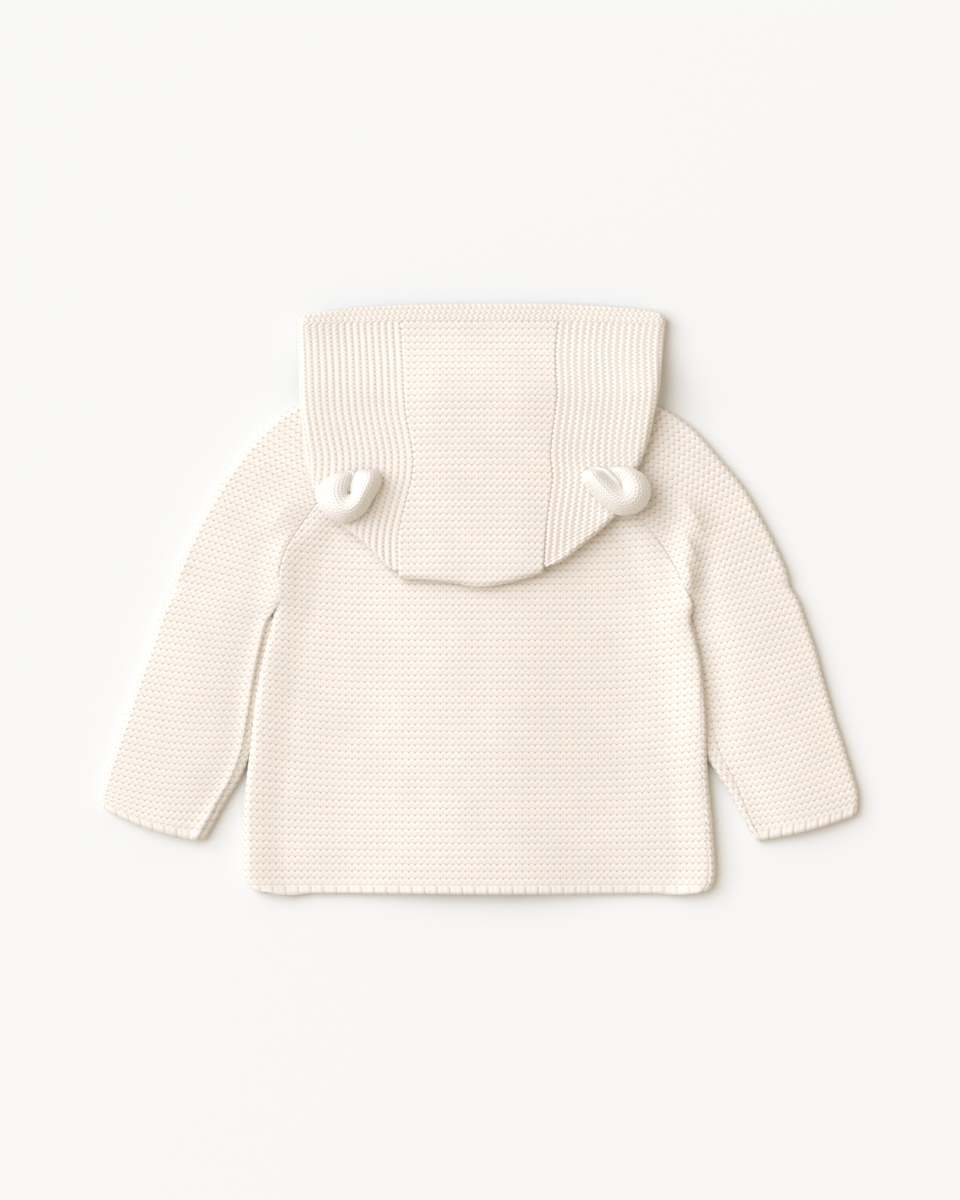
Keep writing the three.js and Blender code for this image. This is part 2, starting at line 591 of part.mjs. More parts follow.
/** Lines of the hood's centre strip, side by side: from the opening to its lower fold, and back beneath */
function hoodCentreLines() {
  return Array.from({ length: HOOD_CENTRE_COLUMNS + 1 }, (_, k) => {
    const across = k / HOOD_CENTRE_COLUMNS;
    const foot = read(HOOD_FOOT, 'across', 'y', across);
    const xAt = (y) => {
      const left = read([...HOOD.left].reverse(), 'y', 'x', y) - SEAM_GAP;
      const right = read([...HOOD.right].reverse(), 'y', 'x', y) - SEAM_GAP;
      return mix(-left, right, across);
    };
    const turn = HOOD_OPENING - foot - HOOD_RADIUS;
    const yAt = (q) => HOOD_OPENING - q;
    const low = drapeFloor(xAt(yAt(turn)));
    const top = (q) => {
      const y = yAt(q);
      return mix(hoodTop(xAt(y), y), low + 2 * HOOD_RADIUS, ease((q - turn + 30) / 30));
    };
    const napeX = xAt(NECK);
    const nape = NECK - NECK_DIP * (1 - Math.min(Math.abs(napeX) / NECK_HALF, 1) ** 2);
    const profile = [
      ...run(0, turn, HOOD_CENTRE_ROWS, top),
      ...fold(turn, low + HOOD_RADIUS, HOOD_RADIUS, 0, 180, FOLD_STEPS, 1).slice(1),
      ...run(turn, HOOD_OPENING - nape, HOOD_CENTRE_UNDER_ROWS, (q) => drapeFloor(xAt(yAt(q)))).slice(1),
    ];
    return clothRow(profile, ([q, z]) => new THREE.Vector3(xAt(yAt(q)), yAt(q), z));
  });
}

/** Half of the opening's edge, from the seam with the centre strip round the fold and down to the throat */
function mouthEdge(side) {
  const rows = hoodSideRows(side).slice(0, NECK_ROW + 1);
  const end = rows[0].outer.length - 1;
  const round = [...Array(HOOD_COLUMNS + FOLD_STEPS + 1).keys()];
  const first = round.map((k) => ({ outer: rows[0].outer[k], inner: rows[0].inner[k], turn: 0 }));
  const corner = { outer: rows[0].outer[end], inner: rows[0].inner[end], turn: 0.5 };
  const down = rows.slice(1).map(({ outer, inner }) => ({ outer: outer[end], inner: inner[end], turn: 1 }));
  return [...first, corner, ...down].map(({ outer, inner, turn }) => {
    const mirrored = (p) => new THREE.Vector3(side * p.x, p.y, p.z);
    return { outer: mirrored(outer), inner: mirrored(inner), turn: -side * turn };
  });
}

/** The knitted band round the hood's opening, from throat to throat over the top */
function hoodBand() {
  const centre = hoodCentreLines().slice(1, -1)
    .map(({ outer, inner }) => ({ outer: outer[0], inner: inner[0], turn: 0 }));
  const slope = (HOOD.left[0].y - HOOD.left[NECK_ROW].y) / (MOUTH_CORNER_X - THROAT_X);
  const rows = [...mouthEdge(-1).reverse(), ...centre, ...mouthEdge(1)].map(({ outer, inner, turn }) => {
    const out = new THREE.Vector3(turn * slope, 1, 0).normalize();
    const upper = read(BAND_EDGE, 'x', 'y', outer.x) - outer.y - SEAM_GAP;
    const width = turn === 0 ? Math.max(upper, BAND_LEAST) : BAND_WIDTH;
    const moved = (point) => Array.from({ length: BAND_COLUMNS + 1 }, (_, k) => {
      const place = point.clone().addScaledVector(out, SEAM_GAP + width * k / BAND_COLUMNS);
      if (turn !== 0) place.z += flangeFloor(place.x, place.y) - flangeFloor(point.x, point.y);
      return place;
    });
    return { outer: moved(outer), inner: moved(inner) };
  });
  return wall(rows.reverse());
}

/** One ear: a sheet that arches from its slit to its outer edge, all round the slit like a cup on its side */
function ear(side) {
  const table = side < 0 ? EAR.left : EAR.right;
  const rows = Array.from({ length: EAR_ROWS }, (_, k) => {
    const turn = k / (EAR_ROWS - 1);
    const value = (name) => read(table, 'turn', name, turn);
    const from = new THREE.Vector2(value('x'), value('y'));
    const to = new THREE.Vector2(value('edgeX'), value('edgeY'));
    const width = from.distanceTo(to);
    const arch = (q) => Math.max(Math.sin(Math.PI * q / width), 0) ** EAR_ROUNDNESS;
    const height = (q) => EAR_BASE + value('rise') * arch(q);
    return clothRow(run(0, width, EAR_STEPS, height), rowPlacer(from, to, 0));
  });
  return wall(rows, { lowest: EAR_BASE });
}

/** A plain round button with a softened rim */
function button() {
  const half = BUTTON_THICKNESS - BUTTON_RIM;
  const profile = [
    new THREE.Vector2(0, 0),
    new THREE.Vector2(BUTTON_RADIUS - BUTTON_RIM, 0),
    new THREE.Vector2(BUTTON_RADIUS, BUTTON_RIM),
    new THREE.Vector2(BUTTON_RADIUS, half),
    new THREE.Vector2(BUTTON_RADIUS - BUTTON_RIM, BUTTON_THICKNESS),
    new THREE.Vector2(0, BUTTON_THICKNESS),
  ];
  return new THREE.LatheGeometry(profile, BUTTON_SIDES).rotateX(Math.PI / 2);
}

const model = new THREE.Group();

/** Adds one named piece */
function add(name, geometry, look) {
  const mesh = new THREE.Mesh(geometry, new THREE.MeshStandardMaterial(look));
  mesh.name = name;
  model.add(mesh);
  return mesh;
}

add('back', back(), COTTON);
add('front_left', front(-1), COTTON);
add('front_right', front(1), COTTON);
add('sleeve_left', sleeve(-1), COTTON);
add('sleeve_right', sleeve(1), COTTON);
add('hood_centre', wall(hoodCentreLines()), COTTON);
add('hood_side_left', hoodSide(-1), COTTON);
add('hood_side_right', hoodSide(1), COTTON);
add('hood_band', hoodBand(), COTTON);
add('ear_left', ear(-1), EAR_COTTON);
add('ear_right', ear(1), EAR_COTTON);
for (let k = 0; k < BUTTON_COUNT; k += 1) {
  const disc = add(`button_${k + 1}`, button(), WOOD);
  disc.position.set(0, BUTTON_FIRST + k * BUTTON_PITCH, 0);
}
model.position.x = TO_MIDDLE_X;

export default model;
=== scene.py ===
"""A hooded baby cardigan in thick garter knit, laid face down with its back up on white paper.

Every cloth piece is a closed sheet lofted through the same rows as its CAD solid, with the stitches
raised on its outer face. The tables are in millimetres and, but for the right cuff, the CAD part's own.
"""

from __future__ import annotations

import logging
import math
from dataclasses import dataclass
from enum import Enum
from typing import Any, Callable, Iterable, Sequence

import bpy
import numpy as np
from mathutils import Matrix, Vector

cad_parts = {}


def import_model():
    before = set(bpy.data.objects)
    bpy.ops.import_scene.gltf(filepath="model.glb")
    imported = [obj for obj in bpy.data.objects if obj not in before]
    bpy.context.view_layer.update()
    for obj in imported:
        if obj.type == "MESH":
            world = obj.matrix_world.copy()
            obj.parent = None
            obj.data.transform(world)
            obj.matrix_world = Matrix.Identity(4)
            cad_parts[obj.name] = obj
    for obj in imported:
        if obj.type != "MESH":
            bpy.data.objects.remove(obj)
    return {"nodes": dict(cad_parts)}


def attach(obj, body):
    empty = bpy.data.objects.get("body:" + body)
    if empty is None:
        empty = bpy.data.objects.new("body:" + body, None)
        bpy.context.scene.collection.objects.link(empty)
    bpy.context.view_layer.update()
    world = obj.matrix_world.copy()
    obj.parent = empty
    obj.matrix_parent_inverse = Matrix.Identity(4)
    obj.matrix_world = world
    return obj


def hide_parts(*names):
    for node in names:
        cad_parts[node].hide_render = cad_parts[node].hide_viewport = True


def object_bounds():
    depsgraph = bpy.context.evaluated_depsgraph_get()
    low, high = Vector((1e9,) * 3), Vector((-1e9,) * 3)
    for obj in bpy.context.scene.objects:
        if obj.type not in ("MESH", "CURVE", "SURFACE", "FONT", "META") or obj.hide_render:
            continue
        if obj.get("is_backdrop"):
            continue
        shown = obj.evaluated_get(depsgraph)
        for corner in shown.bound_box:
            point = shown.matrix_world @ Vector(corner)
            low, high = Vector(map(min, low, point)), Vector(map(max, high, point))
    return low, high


log = logging.getLogger("cardigan")

# A millimetre in metres, and how far the tables' middle line lies from the middle of the garment's box
MM = 0.001
TO_MIDDLE_X = 1.3

# Cloth: its thickness, the gap at a seam, and the gap between layers that lie on each other
WALL = 3.0
SEAM_GAP = 0.3
LAYER_GAP = 0.3

# Fronts and back: half the front overlap, and heights of the lower faces where the layers are stacked
OVERLAP_HALF = 12.5
BUTTON_LIFT = 2.7
UNDER_FRONT = BUTTON_LIFT + WALL + LAYER_GAP
BACK_FLOOR = UNDER_FRONT + WALL + LAYER_GAP

# Body: its ends, the hem's bow over half the body's width, and the neckline's dip over half its own
HEM = -176.7
NECK = 110.0
HEM_BOW = 1.2
HEM_HALF = 120.0
NECK_DIP = 3.0
NECK_HALF = 44.0

# Body's ridges: where they stop being straight, and how fast they curve up from there
RIDGE_FLAT = 62.0
RIDGE_CURVE = 0.0013

# Back: where it starts to drop from the stack, over what width, and the roll that lifts it at each side
DROP_START = 6.0
DROP_WIDTH = 86.0
ROLL_RISE = 2.7
ROLL_START = 26.0
ROLL_WIDTH = 21.5

# Side folds: their radius, and how far a panel stops short of the side seam, in degrees round the fold
SIDE_RADIUS = 4.5
SEAM_TURN = 8.0

# Right side: how far the body's edge swells up and leans out, and over what width and stretch of Y.
# Then how far the sleeves are pressed under the body, and over what stretch of Y
EDGE_SWELL = 4.4
EDGE_LEAN = 3.0
EDGE_START = 50.0
EDGE_WIDTH = 46.0
EDGE_FOOT = -118.0
EDGE_TOP = 8.0
SLEEVE_PRESS = 3.6
PRESS_TOP = 14.0
PRESS_FOOT = -125.0

# Creases beside the armholes: their widths towards the body and towards the sleeve, and their run-out
CREASE_NEAR = 15.0
CREASE_FAR = 14.0
CREASE_END = 15.0

# Hood: where its opening ends, the half width of its mouth there and at the neck, and its folds' radius
HOOD_OPENING = 166.8
MOUTH_WIDE = 100.0
MOUTH_NARROW = 8.0
HOOD_RADIUS = 4.2

# Hood over the body: its thickness, the floor at its sides, and where the floor starts to drop to it
HOOD_THICK = 8.0
HOOD_SIDE_FLOOR = 10.2
DRAPE_START = 18.0
DRAPE_WIDTH = 44.0

# Hood beyond the shoulders: floors at the neck and the mouth, the mouth's upper face, and their ramps
FLANGE_NECK = 3.0
FLANGE_START = 28.0
FLANGE_WIDTH = 16.0
MOUTH_FLOOR = 1.2
SHOULDER_LINE = 123.0
FLANGE_RAMP = 36.0
MOUTH_TOP = 8.6
TOP_LINE = 118.0
TOP_RAMP = 44.0


class Side(Enum):
    """A side of the garment as the photo shows it, with the sign of its X."""

    LEFT = -1
    RIGHT = 1


class Held(Enum):
    """How a sheet of cloth is held."""

    LAID = "laid"


def ease(amount: Any) -> Any:
    """Smooth step from 0 to 1."""
    t = np.clip(amount, 0.0, 1.0)
    return t * t * (3 - 2 * t)


def mix(a: Any, b: Any, t: Any) -> Any:
    """Straight mix of two values."""
    return a + (b - a) * t


def through(keys: np.ndarray, values: np.ndarray, at: np.ndarray) -> np.ndarray:
    """Smooth curve through values.

    Args:
        keys: Increasing keys of the values.
        values: One value, or an array of them, for each key.
        at: Keys to read the curve at.

    Returns:
        The values at those keys.
    """
    last = len(keys) - 1
    before = np.maximum(np.arange(last + 1) - 1, 0)
    after = np.minimum(np.arange(last + 1) + 1, last)
    extra = (1,) * (values.ndim - 1)
    slope = (values[after] - values[before]) / (keys[after] - keys[before]).reshape(-1, *extra)
    k = np.clip(np.searchsorted(keys, at, side="right") - 1, 0, last - 1)
    span = (keys[k + 1] - keys[k]).reshape(-1, *extra)
    t = np.clip((at - keys[k]) / (keys[k + 1] - keys[k]), 0, 1).reshape(-1, *extra)
    bend = mix(values[k], values[k + 1], t * t * (3 - 2 * t))
    return bend + span * t * (1 - t) * ((1 - t) * slope[k] - t * slope[k + 1])


def linear(code: str) -> tuple[float, float, float, float]:
    """A colour written as sRGB hex, as the linear values that a shader takes."""
    parts = [int(code[k : k + 2], 16) / 255 for k in (1, 3, 5)]
    red, green, blue = (c / 12.92 if c <= 0.04045 else ((c + 0.055) / 1.055) ** 2.4 for c in parts)
    return red, green, blue, 1.0


Table = tuple[tuple[float, ...], ...]

# The body's side edges from the hem to the underarm: y, left x, right x, right seam's turn in degrees
BODY_EDGE: Table = (
    (-176.7, 130.4, 132.6, 12),
    (-174.6, 137.2, 136.9, 12),
    (-170.0, 141.4, 139.6, 10),
    (-162.0, 143.1, 140.6, 6),
    (-144.0, 143.3, 139.6, 0),
    (-126.0, 143.1, 138.2, 0),
    (-108.0, 141.4, 136.4, 0),
    (-91.0, 139.5, 134.7, 0),
    (-76.0, 138.0, 133.5, 6),
    (-60.0, 136.2, 132.3, 14),
    (-48.0, 134.4, 131.3, 34),
    (-37.0, 132.3, 129.8, 62),
    (-26.0, 129.8, 127.5, 90),
    (-14.0, 126.7, 124.4, 90),
)

# The raglan seams from the underarm to the neck: x, y, and the point of the sleeve's outer fold
RAGLAN: dict[Side, Table] = {
    Side.LEFT: (
        (122.8, 0.0, 184.6, 12.0),
        (121.0, 14.0, 178.3, 28.0),
        (116.4, 30.0, 170.2, 45.0),
        (108.3, 43.0, 160.6, 62.0),
        (97.4, 58.0, 148.8, 80.2),
        (80.0, 76.0, 129.4, 103.0),
        (61.4, 94.0, 103.0, 119.0),
        (44.0, 110.0, 66.0, 118.0),
    ),
    Side.RIGHT: (
        (123.6, 0.0, 184.2, 14.6),
        (118.4, 13.0, 176.6, 32.5),
        (111.6, 26.0, 168.6, 48.0),
        (103.0, 38.6, 157.8, 66.6),
        (91.0, 52.6, 143.6, 84.0),
        (76.6, 71.0, 124.2, 104.8),
        (60.6, 91.6, 98.6, 118.4),
        (44.0, 110.0, 65.0, 118.0),
    ),
}

# Sleeves from the underarm to the cuff: inner fold, outer fold, the row's bow, and where the seam shows
SLEEVE: dict[Side, Table] = {
    Side.LEFT: (
        (127.4, -14.0, 191.0, -4.6, 0.0, 4.6),
        (131.2, -28.0, 197.0, -21.0, 0.6, 4.6),
        (134.6, -44.0, 202.9, -38.0, 1.2, 4.8),
        (137.0, -60.0, 208.8, -54.6, 1.8, 5.2),
        (139.0, -76.0, 214.0, -70.4, 2.4, 6.0),
        (141.0, -91.0, 219.2, -85.6, 3.0, 7.0),
        (145.4, -107.0, 224.2, -100.6, 3.4, 6.6),
        (153.0, -121.6, 228.0, -113.6, 3.8, 5.4),
        (160.6, -135.4, 229.0, -119.4, 4.4, 4.8),
        (166.4, -145.4, 227.6, -125.6, 2.6, 4.2),
    ),
    Side.RIGHT: (
        (125.0, -14.0, 189.8, 0.8, 0.0, 4.6),
        (128.7, -28.0, 195.4, -14.4, 0.6, 4.8),
        (131.7, -44.0, 200.6, -29.2, 1.2, 5.0),
        (133.0, -60.0, 204.6, -44.0, 1.8, 6.0),
        (134.2, -76.0, 209.0, -59.4, 2.4, 8.0),
        (136.0, -91.0, 213.2, -74.0, 3.0, 10.0),
        (143.4, -107.0, 218.0, -88.4, 3.6, 9.0),
        (150.4, -120.4, 222.4, -102.6, 2.8, 6.5),
        (156.8, -132.6, 226.4, -117.6, 2.4, 4.8),
        (164.0, -145.2, 225.6, -129.2, 1.6, 4.2),
    ),
}

# The crease beside each armhole: y, x of its crest and its height
CREASE: dict[Side, Table] = {
    Side.LEFT: (
        (2, 123.6, 1.6),
        (18, 122.6, 2.2),
        (36, 119.4, 2.2),
        (52, 124.0, 1.6),
        (66, 130.6, 0.7),
        (80, 138.0, 0.0),
    ),
    Side.RIGHT: (
        (2, 125.6, 3.4),
        (18, 125.2, 7.0),
        (36, 125.6, 7.0),
        (52, 127.2, 4.8),
        (66, 129.2, 2.2),
        (84, 136.0, 0.0),
    ),
}

# Hood sides from the opening down: the seam with the centre strip, and the outer fold
HOOD: dict[Side, Table] = {
    Side.LEFT: (
        (48.4, 166.8, 109.6, 164.4),
        (47.3, 150.0, 109.7, 151.0),
        (46.5, 136.0, 109.4, 137.0),
        (46.0, 123.0, 109.0, 124.0),
        (45.0, 111.4, 108.3, 111.8),
        (42.4, 97.6, 107.3, 96.4),
        (40.5, 86.0, 105.6, 84.0),
        (41.1, 73.6, 103.0, 72.4),
        (43.7, 62.6, 99.4, 61.6),
        (46.4, 52.4, 92.6, 51.4),
        (48.6, 42.4, 81.6, 42.6),
        (49.6, 32.6, 71.0, 33.6),
        (49.4, 23.0, 61.8, 24.2),
        (49.2, 17.0, 56.4, 18.8),
    ),
    Side.RIGHT: (
        (46.0, 166.8, 110.6, 164.4),
        (44.4, 150.0, 109.3, 151.0),
        (44.5, 136.0, 107.9, 137.0),
        (45.1, 123.0, 106.4, 124.0),
        (43.9, 111.4, 104.1, 111.8),
        (42.2, 97.6, 100.8, 97.6),
        (41.2, 86.0, 97.2, 86.0),
        (42.4, 73.6, 92.0, 74.4),
        (41.2, 62.6, 87.4, 63.4),
        (39.8, 52.4, 82.0, 52.0),
        (38.6, 42.4, 72.8, 42.4),
        (37.8, 32.6, 60.4, 32.0),
        (37.2, 24.0, 50.8, 24.4),
        (36.9, 20.0, 44.6, 20.6),
    ),
}
# The row of those tables that lies on the neck
NECK_ROW = 4

# Lower fold of the hood's centre strip: share of its width from the left seam, y
HOOD_FOOT: Table = (
    (0.0, 11.8),
    (0.2, 11.0),
    (0.4, 9.0),
    (0.56, 6.8),
    (0.75, 9.4),
    (0.9, 12.6),
    (1.0, 15.6),
)

# Free edge of the band round the opening, across the top of the hood: x, y
BAND_EDGE: Table = (
    (-111, 168.4),
    (-104, 170.2),
    (-75, 174.2),
    (-44, 176.0),
    (9, 176.7),
    (48, 176.4),
    (93, 173.4),
    (106, 171.0),
    (112, 168.4),
)

# Ears: turn round the slit, the slit's x and y, the outer edge's x and y, and the crest's height
EAR: dict[Side, Table] = {
    Side.LEFT: (
        (0.0, -76.8, 77.6, -91.6, 74.6, 7.5),
        (0.13, -77.8, 73.0, -98.4, 66.0, 11.0),
        (0.26, -79.6, 68.6, -97.8, 56.6, 13.0),
        (0.38, -80.4, 65.0, -91.0, 48.4, 14.0),
        (0.5, -78.6, 63.6, -81.0, 45.2, 14.5),
        (0.62, -77.2, 65.4, -70.6, 50.6, 15.0),
        (0.75, -76.2, 69.4, -64.0, 60.6, 15.0),
        (0.87, -74.6, 74.0, -59.6, 69.6, 14.5),
        (1.0, -73.2, 78.4, -60.2, 77.6, 12.0),
    ),
    Side.RIGHT: (
        (0.0, 68.4, 80.0, 58.6, 76.0, 13.0),
        (0.13, 72.6, 76.6, 61.0, 69.2, 15.0),
        (0.26, 77.0, 73.0, 66.6, 61.6, 15.5),
        (0.38, 80.6, 70.0, 73.6, 54.6, 15.0),
        (0.5, 83.0, 68.6, 83.4, 49.8, 14.0),
        (0.62, 84.4, 69.6, 95.6, 53.0, 13.0),
        (0.75, 83.4, 72.6, 101.4, 62.6, 12.0),
        (0.87, 80.2, 76.0, 99.4, 71.6, 10.5),
        (1.0, 76.0, 80.0, 92.0, 79.6, 8.0),
    ),
}


def read(table: Table, column: int, at: Any) -> np.ndarray:
    """Value of a table's column at keys of its first column, which may rise or fall."""
    rows = np.array(sorted(table), float)
    return through(rows[:, 0], rows[:, column], np.atleast_1d(np.asarray(at, float)))


def read_y(table: Table, column: int, at: Any) -> np.ndarray:
    """Value of a hood table's column at heights y."""
    rows = np.array(sorted(table, key=lambda row: row[1]), float)
    return through(rows[:, 1], rows[:, column], np.atleast_1d(np.asarray(at, float)))


def run(start: float, end: float, steps: int, height: Callable[[np.ndarray], Any]) -> np.ndarray:
    """Places and heights along a straight run of a row, with both its ends."""
    q = np.linspace(start, end, steps + 1)
    return np.column_stack([q, np.broadcast_to(height(q), q.shape)])


def fold(q: float, z: float, radius: float, start: float, end: float, side: int = 1) -> np.ndarray:
    """Places and heights round a fold.

    Args:
        q: Place of the fold's middle along the row.
        z: Height of its middle.
        radius: Radius of the cloth's outer face.
        start: First angle in degrees from the fold's top.
        end: Last angle.
        side: 1 at the row's far end, -1 at its near end.

    Returns:
        One place and height for every few degrees.
    """
    angle = np.radians(np.linspace(start, end, 17))
    return np.column_stack([q + side * radius * np.sin(angle), z + radius * np.cos(angle)])


def swell(q: np.ndarray, at: tuple[float, float]) -> np.ndarray:
    """A smooth swell of height 1 at a place, with a width."""
    return np.exp(-(((q - at[0]) / at[1]) ** 2))


def lengths(points: np.ndarray) -> np.ndarray:
    """Distance of each point from the first, along the line through them."""
    return np.concatenate([[0.0], np.cumsum(np.linalg.norm(np.diff(points, axis=0), axis=1))])


def row_of(
    profile: np.ndarray, place: Callable[[np.ndarray], np.ndarray], columns: int, zero: float
) -> np.ndarray:
    """One row of cloth as evenly spaced points.

    Args:
        profile: Places and heights along the row.
        place: Turns places into points in plan.
        columns: How many cells the row has.
        zero: Distance along the row from which its stitches count.

    Returns:
        x, y, z and the distance along the cloth, for each point.
    """
    far = lengths(profile)
    at = np.linspace(0, far[-1], columns + 1)
    q = np.interp(at, far, profile[:, 0])
    z = np.interp(at, far, profile[:, 1])
    return np.column_stack([place(q), z, at - zero])


def loft(rows: np.ndarray, cells: int) -> tuple[np.ndarray, np.ndarray]:
    """A fine grid through rows of points.

    Args:
        rows: The rows' points and their distances.
        cells: How many cells the grid has from the first row to the last.

    Returns:
        The grid's rows, and the mean distance of each from the first.
    """
    step = np.linalg.norm(np.diff(rows[:, :, :3], axis=0), axis=2).mean(1)
    keys = np.concatenate([[0.0], np.cumsum(step)])
    at = np.linspace(0, keys[-1], cells + 1)
    return through(keys, rows, at), at


@dataclass(frozen=True)
class Gauge:
    """Shape of a piece's stitches.

    Attributes:
        stitch: A stitch's width in millimetres.
        ridge: A ridge's height in millimetres.
        relief: How far a ridge stands up, in millimetres.
        zigzag: How much the single heads stand out of their ridge, from 0 to 1.
    """

    stitch: float
    ridge: float
    relief: float
    zigzag: float


GARTER = Gauge(stitch=3.8, ridge=4.2, relief=0.42, zigzag=0.06)
HOOD_GARTER = Gauge(stitch=3.0, ridge=4.14, relief=0.65, zigzag=0.06)
EAR_GARTER = Gauge(stitch=2.4, ridge=2.9, relief=0.35, zigzag=0.3)

# Fine cells of the outer face to each coarse cell of the inner one
CELLS = 4

# Edges: radii at a seam and at a free edge, and how far a seam's edges are drawn out to meet
SEAM_ROUND = 0.25
EDGE_ROUND = 1.5
SEAM_CLOSE = 0.65

# Cast-off bars: their length and its fade, a slot's width in stitches, and the depths of its two kinds
BAR_LENGTH = 4.8
BAR_FADE = 1.6
SLOT_WIDTH = 0.2
SLOT_DEPTHS = (0.8, 0.35)

# Stitches: how far a valley arches round the heads, its mean, the unevenness, and the level of the grid
SCALLOP = 0.3
SCALLOP_MEAN = 0.6
WOBBLE = 0.07
GRID_LEVEL = 0.75
RELIEF_FADE = 1.6


def scallop(across: np.ndarray) -> np.ndarray:
    """How far the valley over a ridge arches round the heads below it, in ridges."""
    return SCALLOP * (np.abs(np.cos(np.pi * across)) - SCALLOP_MEAN)


def garter(across: np.ndarray, along: np.ndarray, share: float) -> np.ndarray:
    """Height of garter knitting from 0 to 1: ridges of heads, with feet between them half a stitch on.

    Args:
        across: Place across the knitting, in stitches.
        along: Place along it, in ridges.
        share: How much the single heads stand out of their ridge.

    Returns:
        The height at each place.
    """
    ridge = 0.5 - 0.5 * np.cos(2 * np.pi * (along + scallop(across)))
    zigzag = 0.5 + 0.5 * np.cos(2 * np.pi * across) * np.sin(2 * np.pi * along)
    return mix(ridge, zigzag, share)


def rounding(distance: np.ndarray, radius: float) -> np.ndarray:
    """How far a rounded edge of that radius drops at a distance from it."""
    inside = radius - np.clip(distance, 0, radius)
    return radius - np.sqrt(radius**2 - inside**2)


def bars(across: np.ndarray) -> np.ndarray:
    """Height of a cast-off edge from 0 to 1: upright bars, with a deep slot at every second stitch."""
    deep = np.exp(-(((np.mod(across, 2) - 1) / SLOT_WIDTH) ** 2))
    shallow = np.exp(-(((np.mod(across + 1, 2) - 1) / SLOT_WIDTH) ** 2))
    return 1 - SLOT_DEPTHS[0] * deep - SLOT_DEPTHS[1] * shallow


def closed_faces(keep: np.ndarray, flip: bool) -> list[list[int]]:
    """Faces of a closed sheet: a fine outer face, a coarse inner one, and a rim round every open edge.

    Args:
        keep: Which coarse cells the sheet has.
        flip: Whether the faces turn the other way.

    Returns:
        Lists of vertices, the outer grid's first and then the inner grid's.
    """
    tall, wide = keep.shape
    outer = np.arange((tall * CELLS + 1) * (wide * CELLS + 1)).reshape(tall * CELLS + 1, -1)
    inner = outer.size + np.arange((tall + 1) * (wide + 1)).reshape(tall + 1, -1)

    def quads(grid: np.ndarray, kept: np.ndarray) -> np.ndarray:
        corners = np.stack([grid[:-1, :-1], grid[:-1, 1:], grid[1:, 1:], grid[1:, :-1]], axis=-1)
        return corners[kept]

    faces = quads(outer, np.kron(keep, np.ones((CELLS, CELLS), bool))).tolist()
    faces += quads(inner, keep)[:, ::-1].tolist()
    around = np.pad(keep, 1)
    for i, j in np.argwhere(keep):
        low, high, near, far = i * CELLS, (i + 1) * CELLS, j * CELLS, (j + 1) * CELLS
        if not around[i, j + 1]:
            faces.append([*outer[low, near : far + 1][::-1], inner[i, j], inner[i, j + 1]])
        if not around[i + 2, j + 1]:
            faces.append([*outer[high, near : far + 1], inner[i + 1, j + 1], inner[i + 1, j]])
        if not around[i + 1, j]:
            faces.append([*outer[low : high + 1, near], inner[i + 1, j], inner[i, j]])
        if not around[i + 1, j + 2]:
            faces.append([*outer[low : high + 1, far][::-1], inner[i, j + 1], inner[i + 1, j + 1]])
    return [[int(k) for k in (face[::-1] if flip else face)] for face in faces]


def facing(grid: np.ndarray, up: bool, at: tuple[float, float]) -> tuple[np.ndarray, bool]:
    """Outward directions of a grid.

    Args:
        grid: The grid's points.
        up: Whether its outer face looks up at the reference point.
        at: The reference point, as shares of the grid's rows and columns.

    Returns:
        One direction for each point, and whether the grid's faces have to be flipped.
    """
    normal = np.cross(np.gradient(grid, axis=1), np.gradient(grid, axis=0))
    normal /= np.maximum(np.linalg.norm(normal, axis=2, keepdims=True), 1e-9)
    i, j = (int(share * (size - 1)) for share, size in zip(at, grid.shape))
    flip = bool((normal[i, j, 2] > 0) != up)
    return (-normal if flip else normal), flip


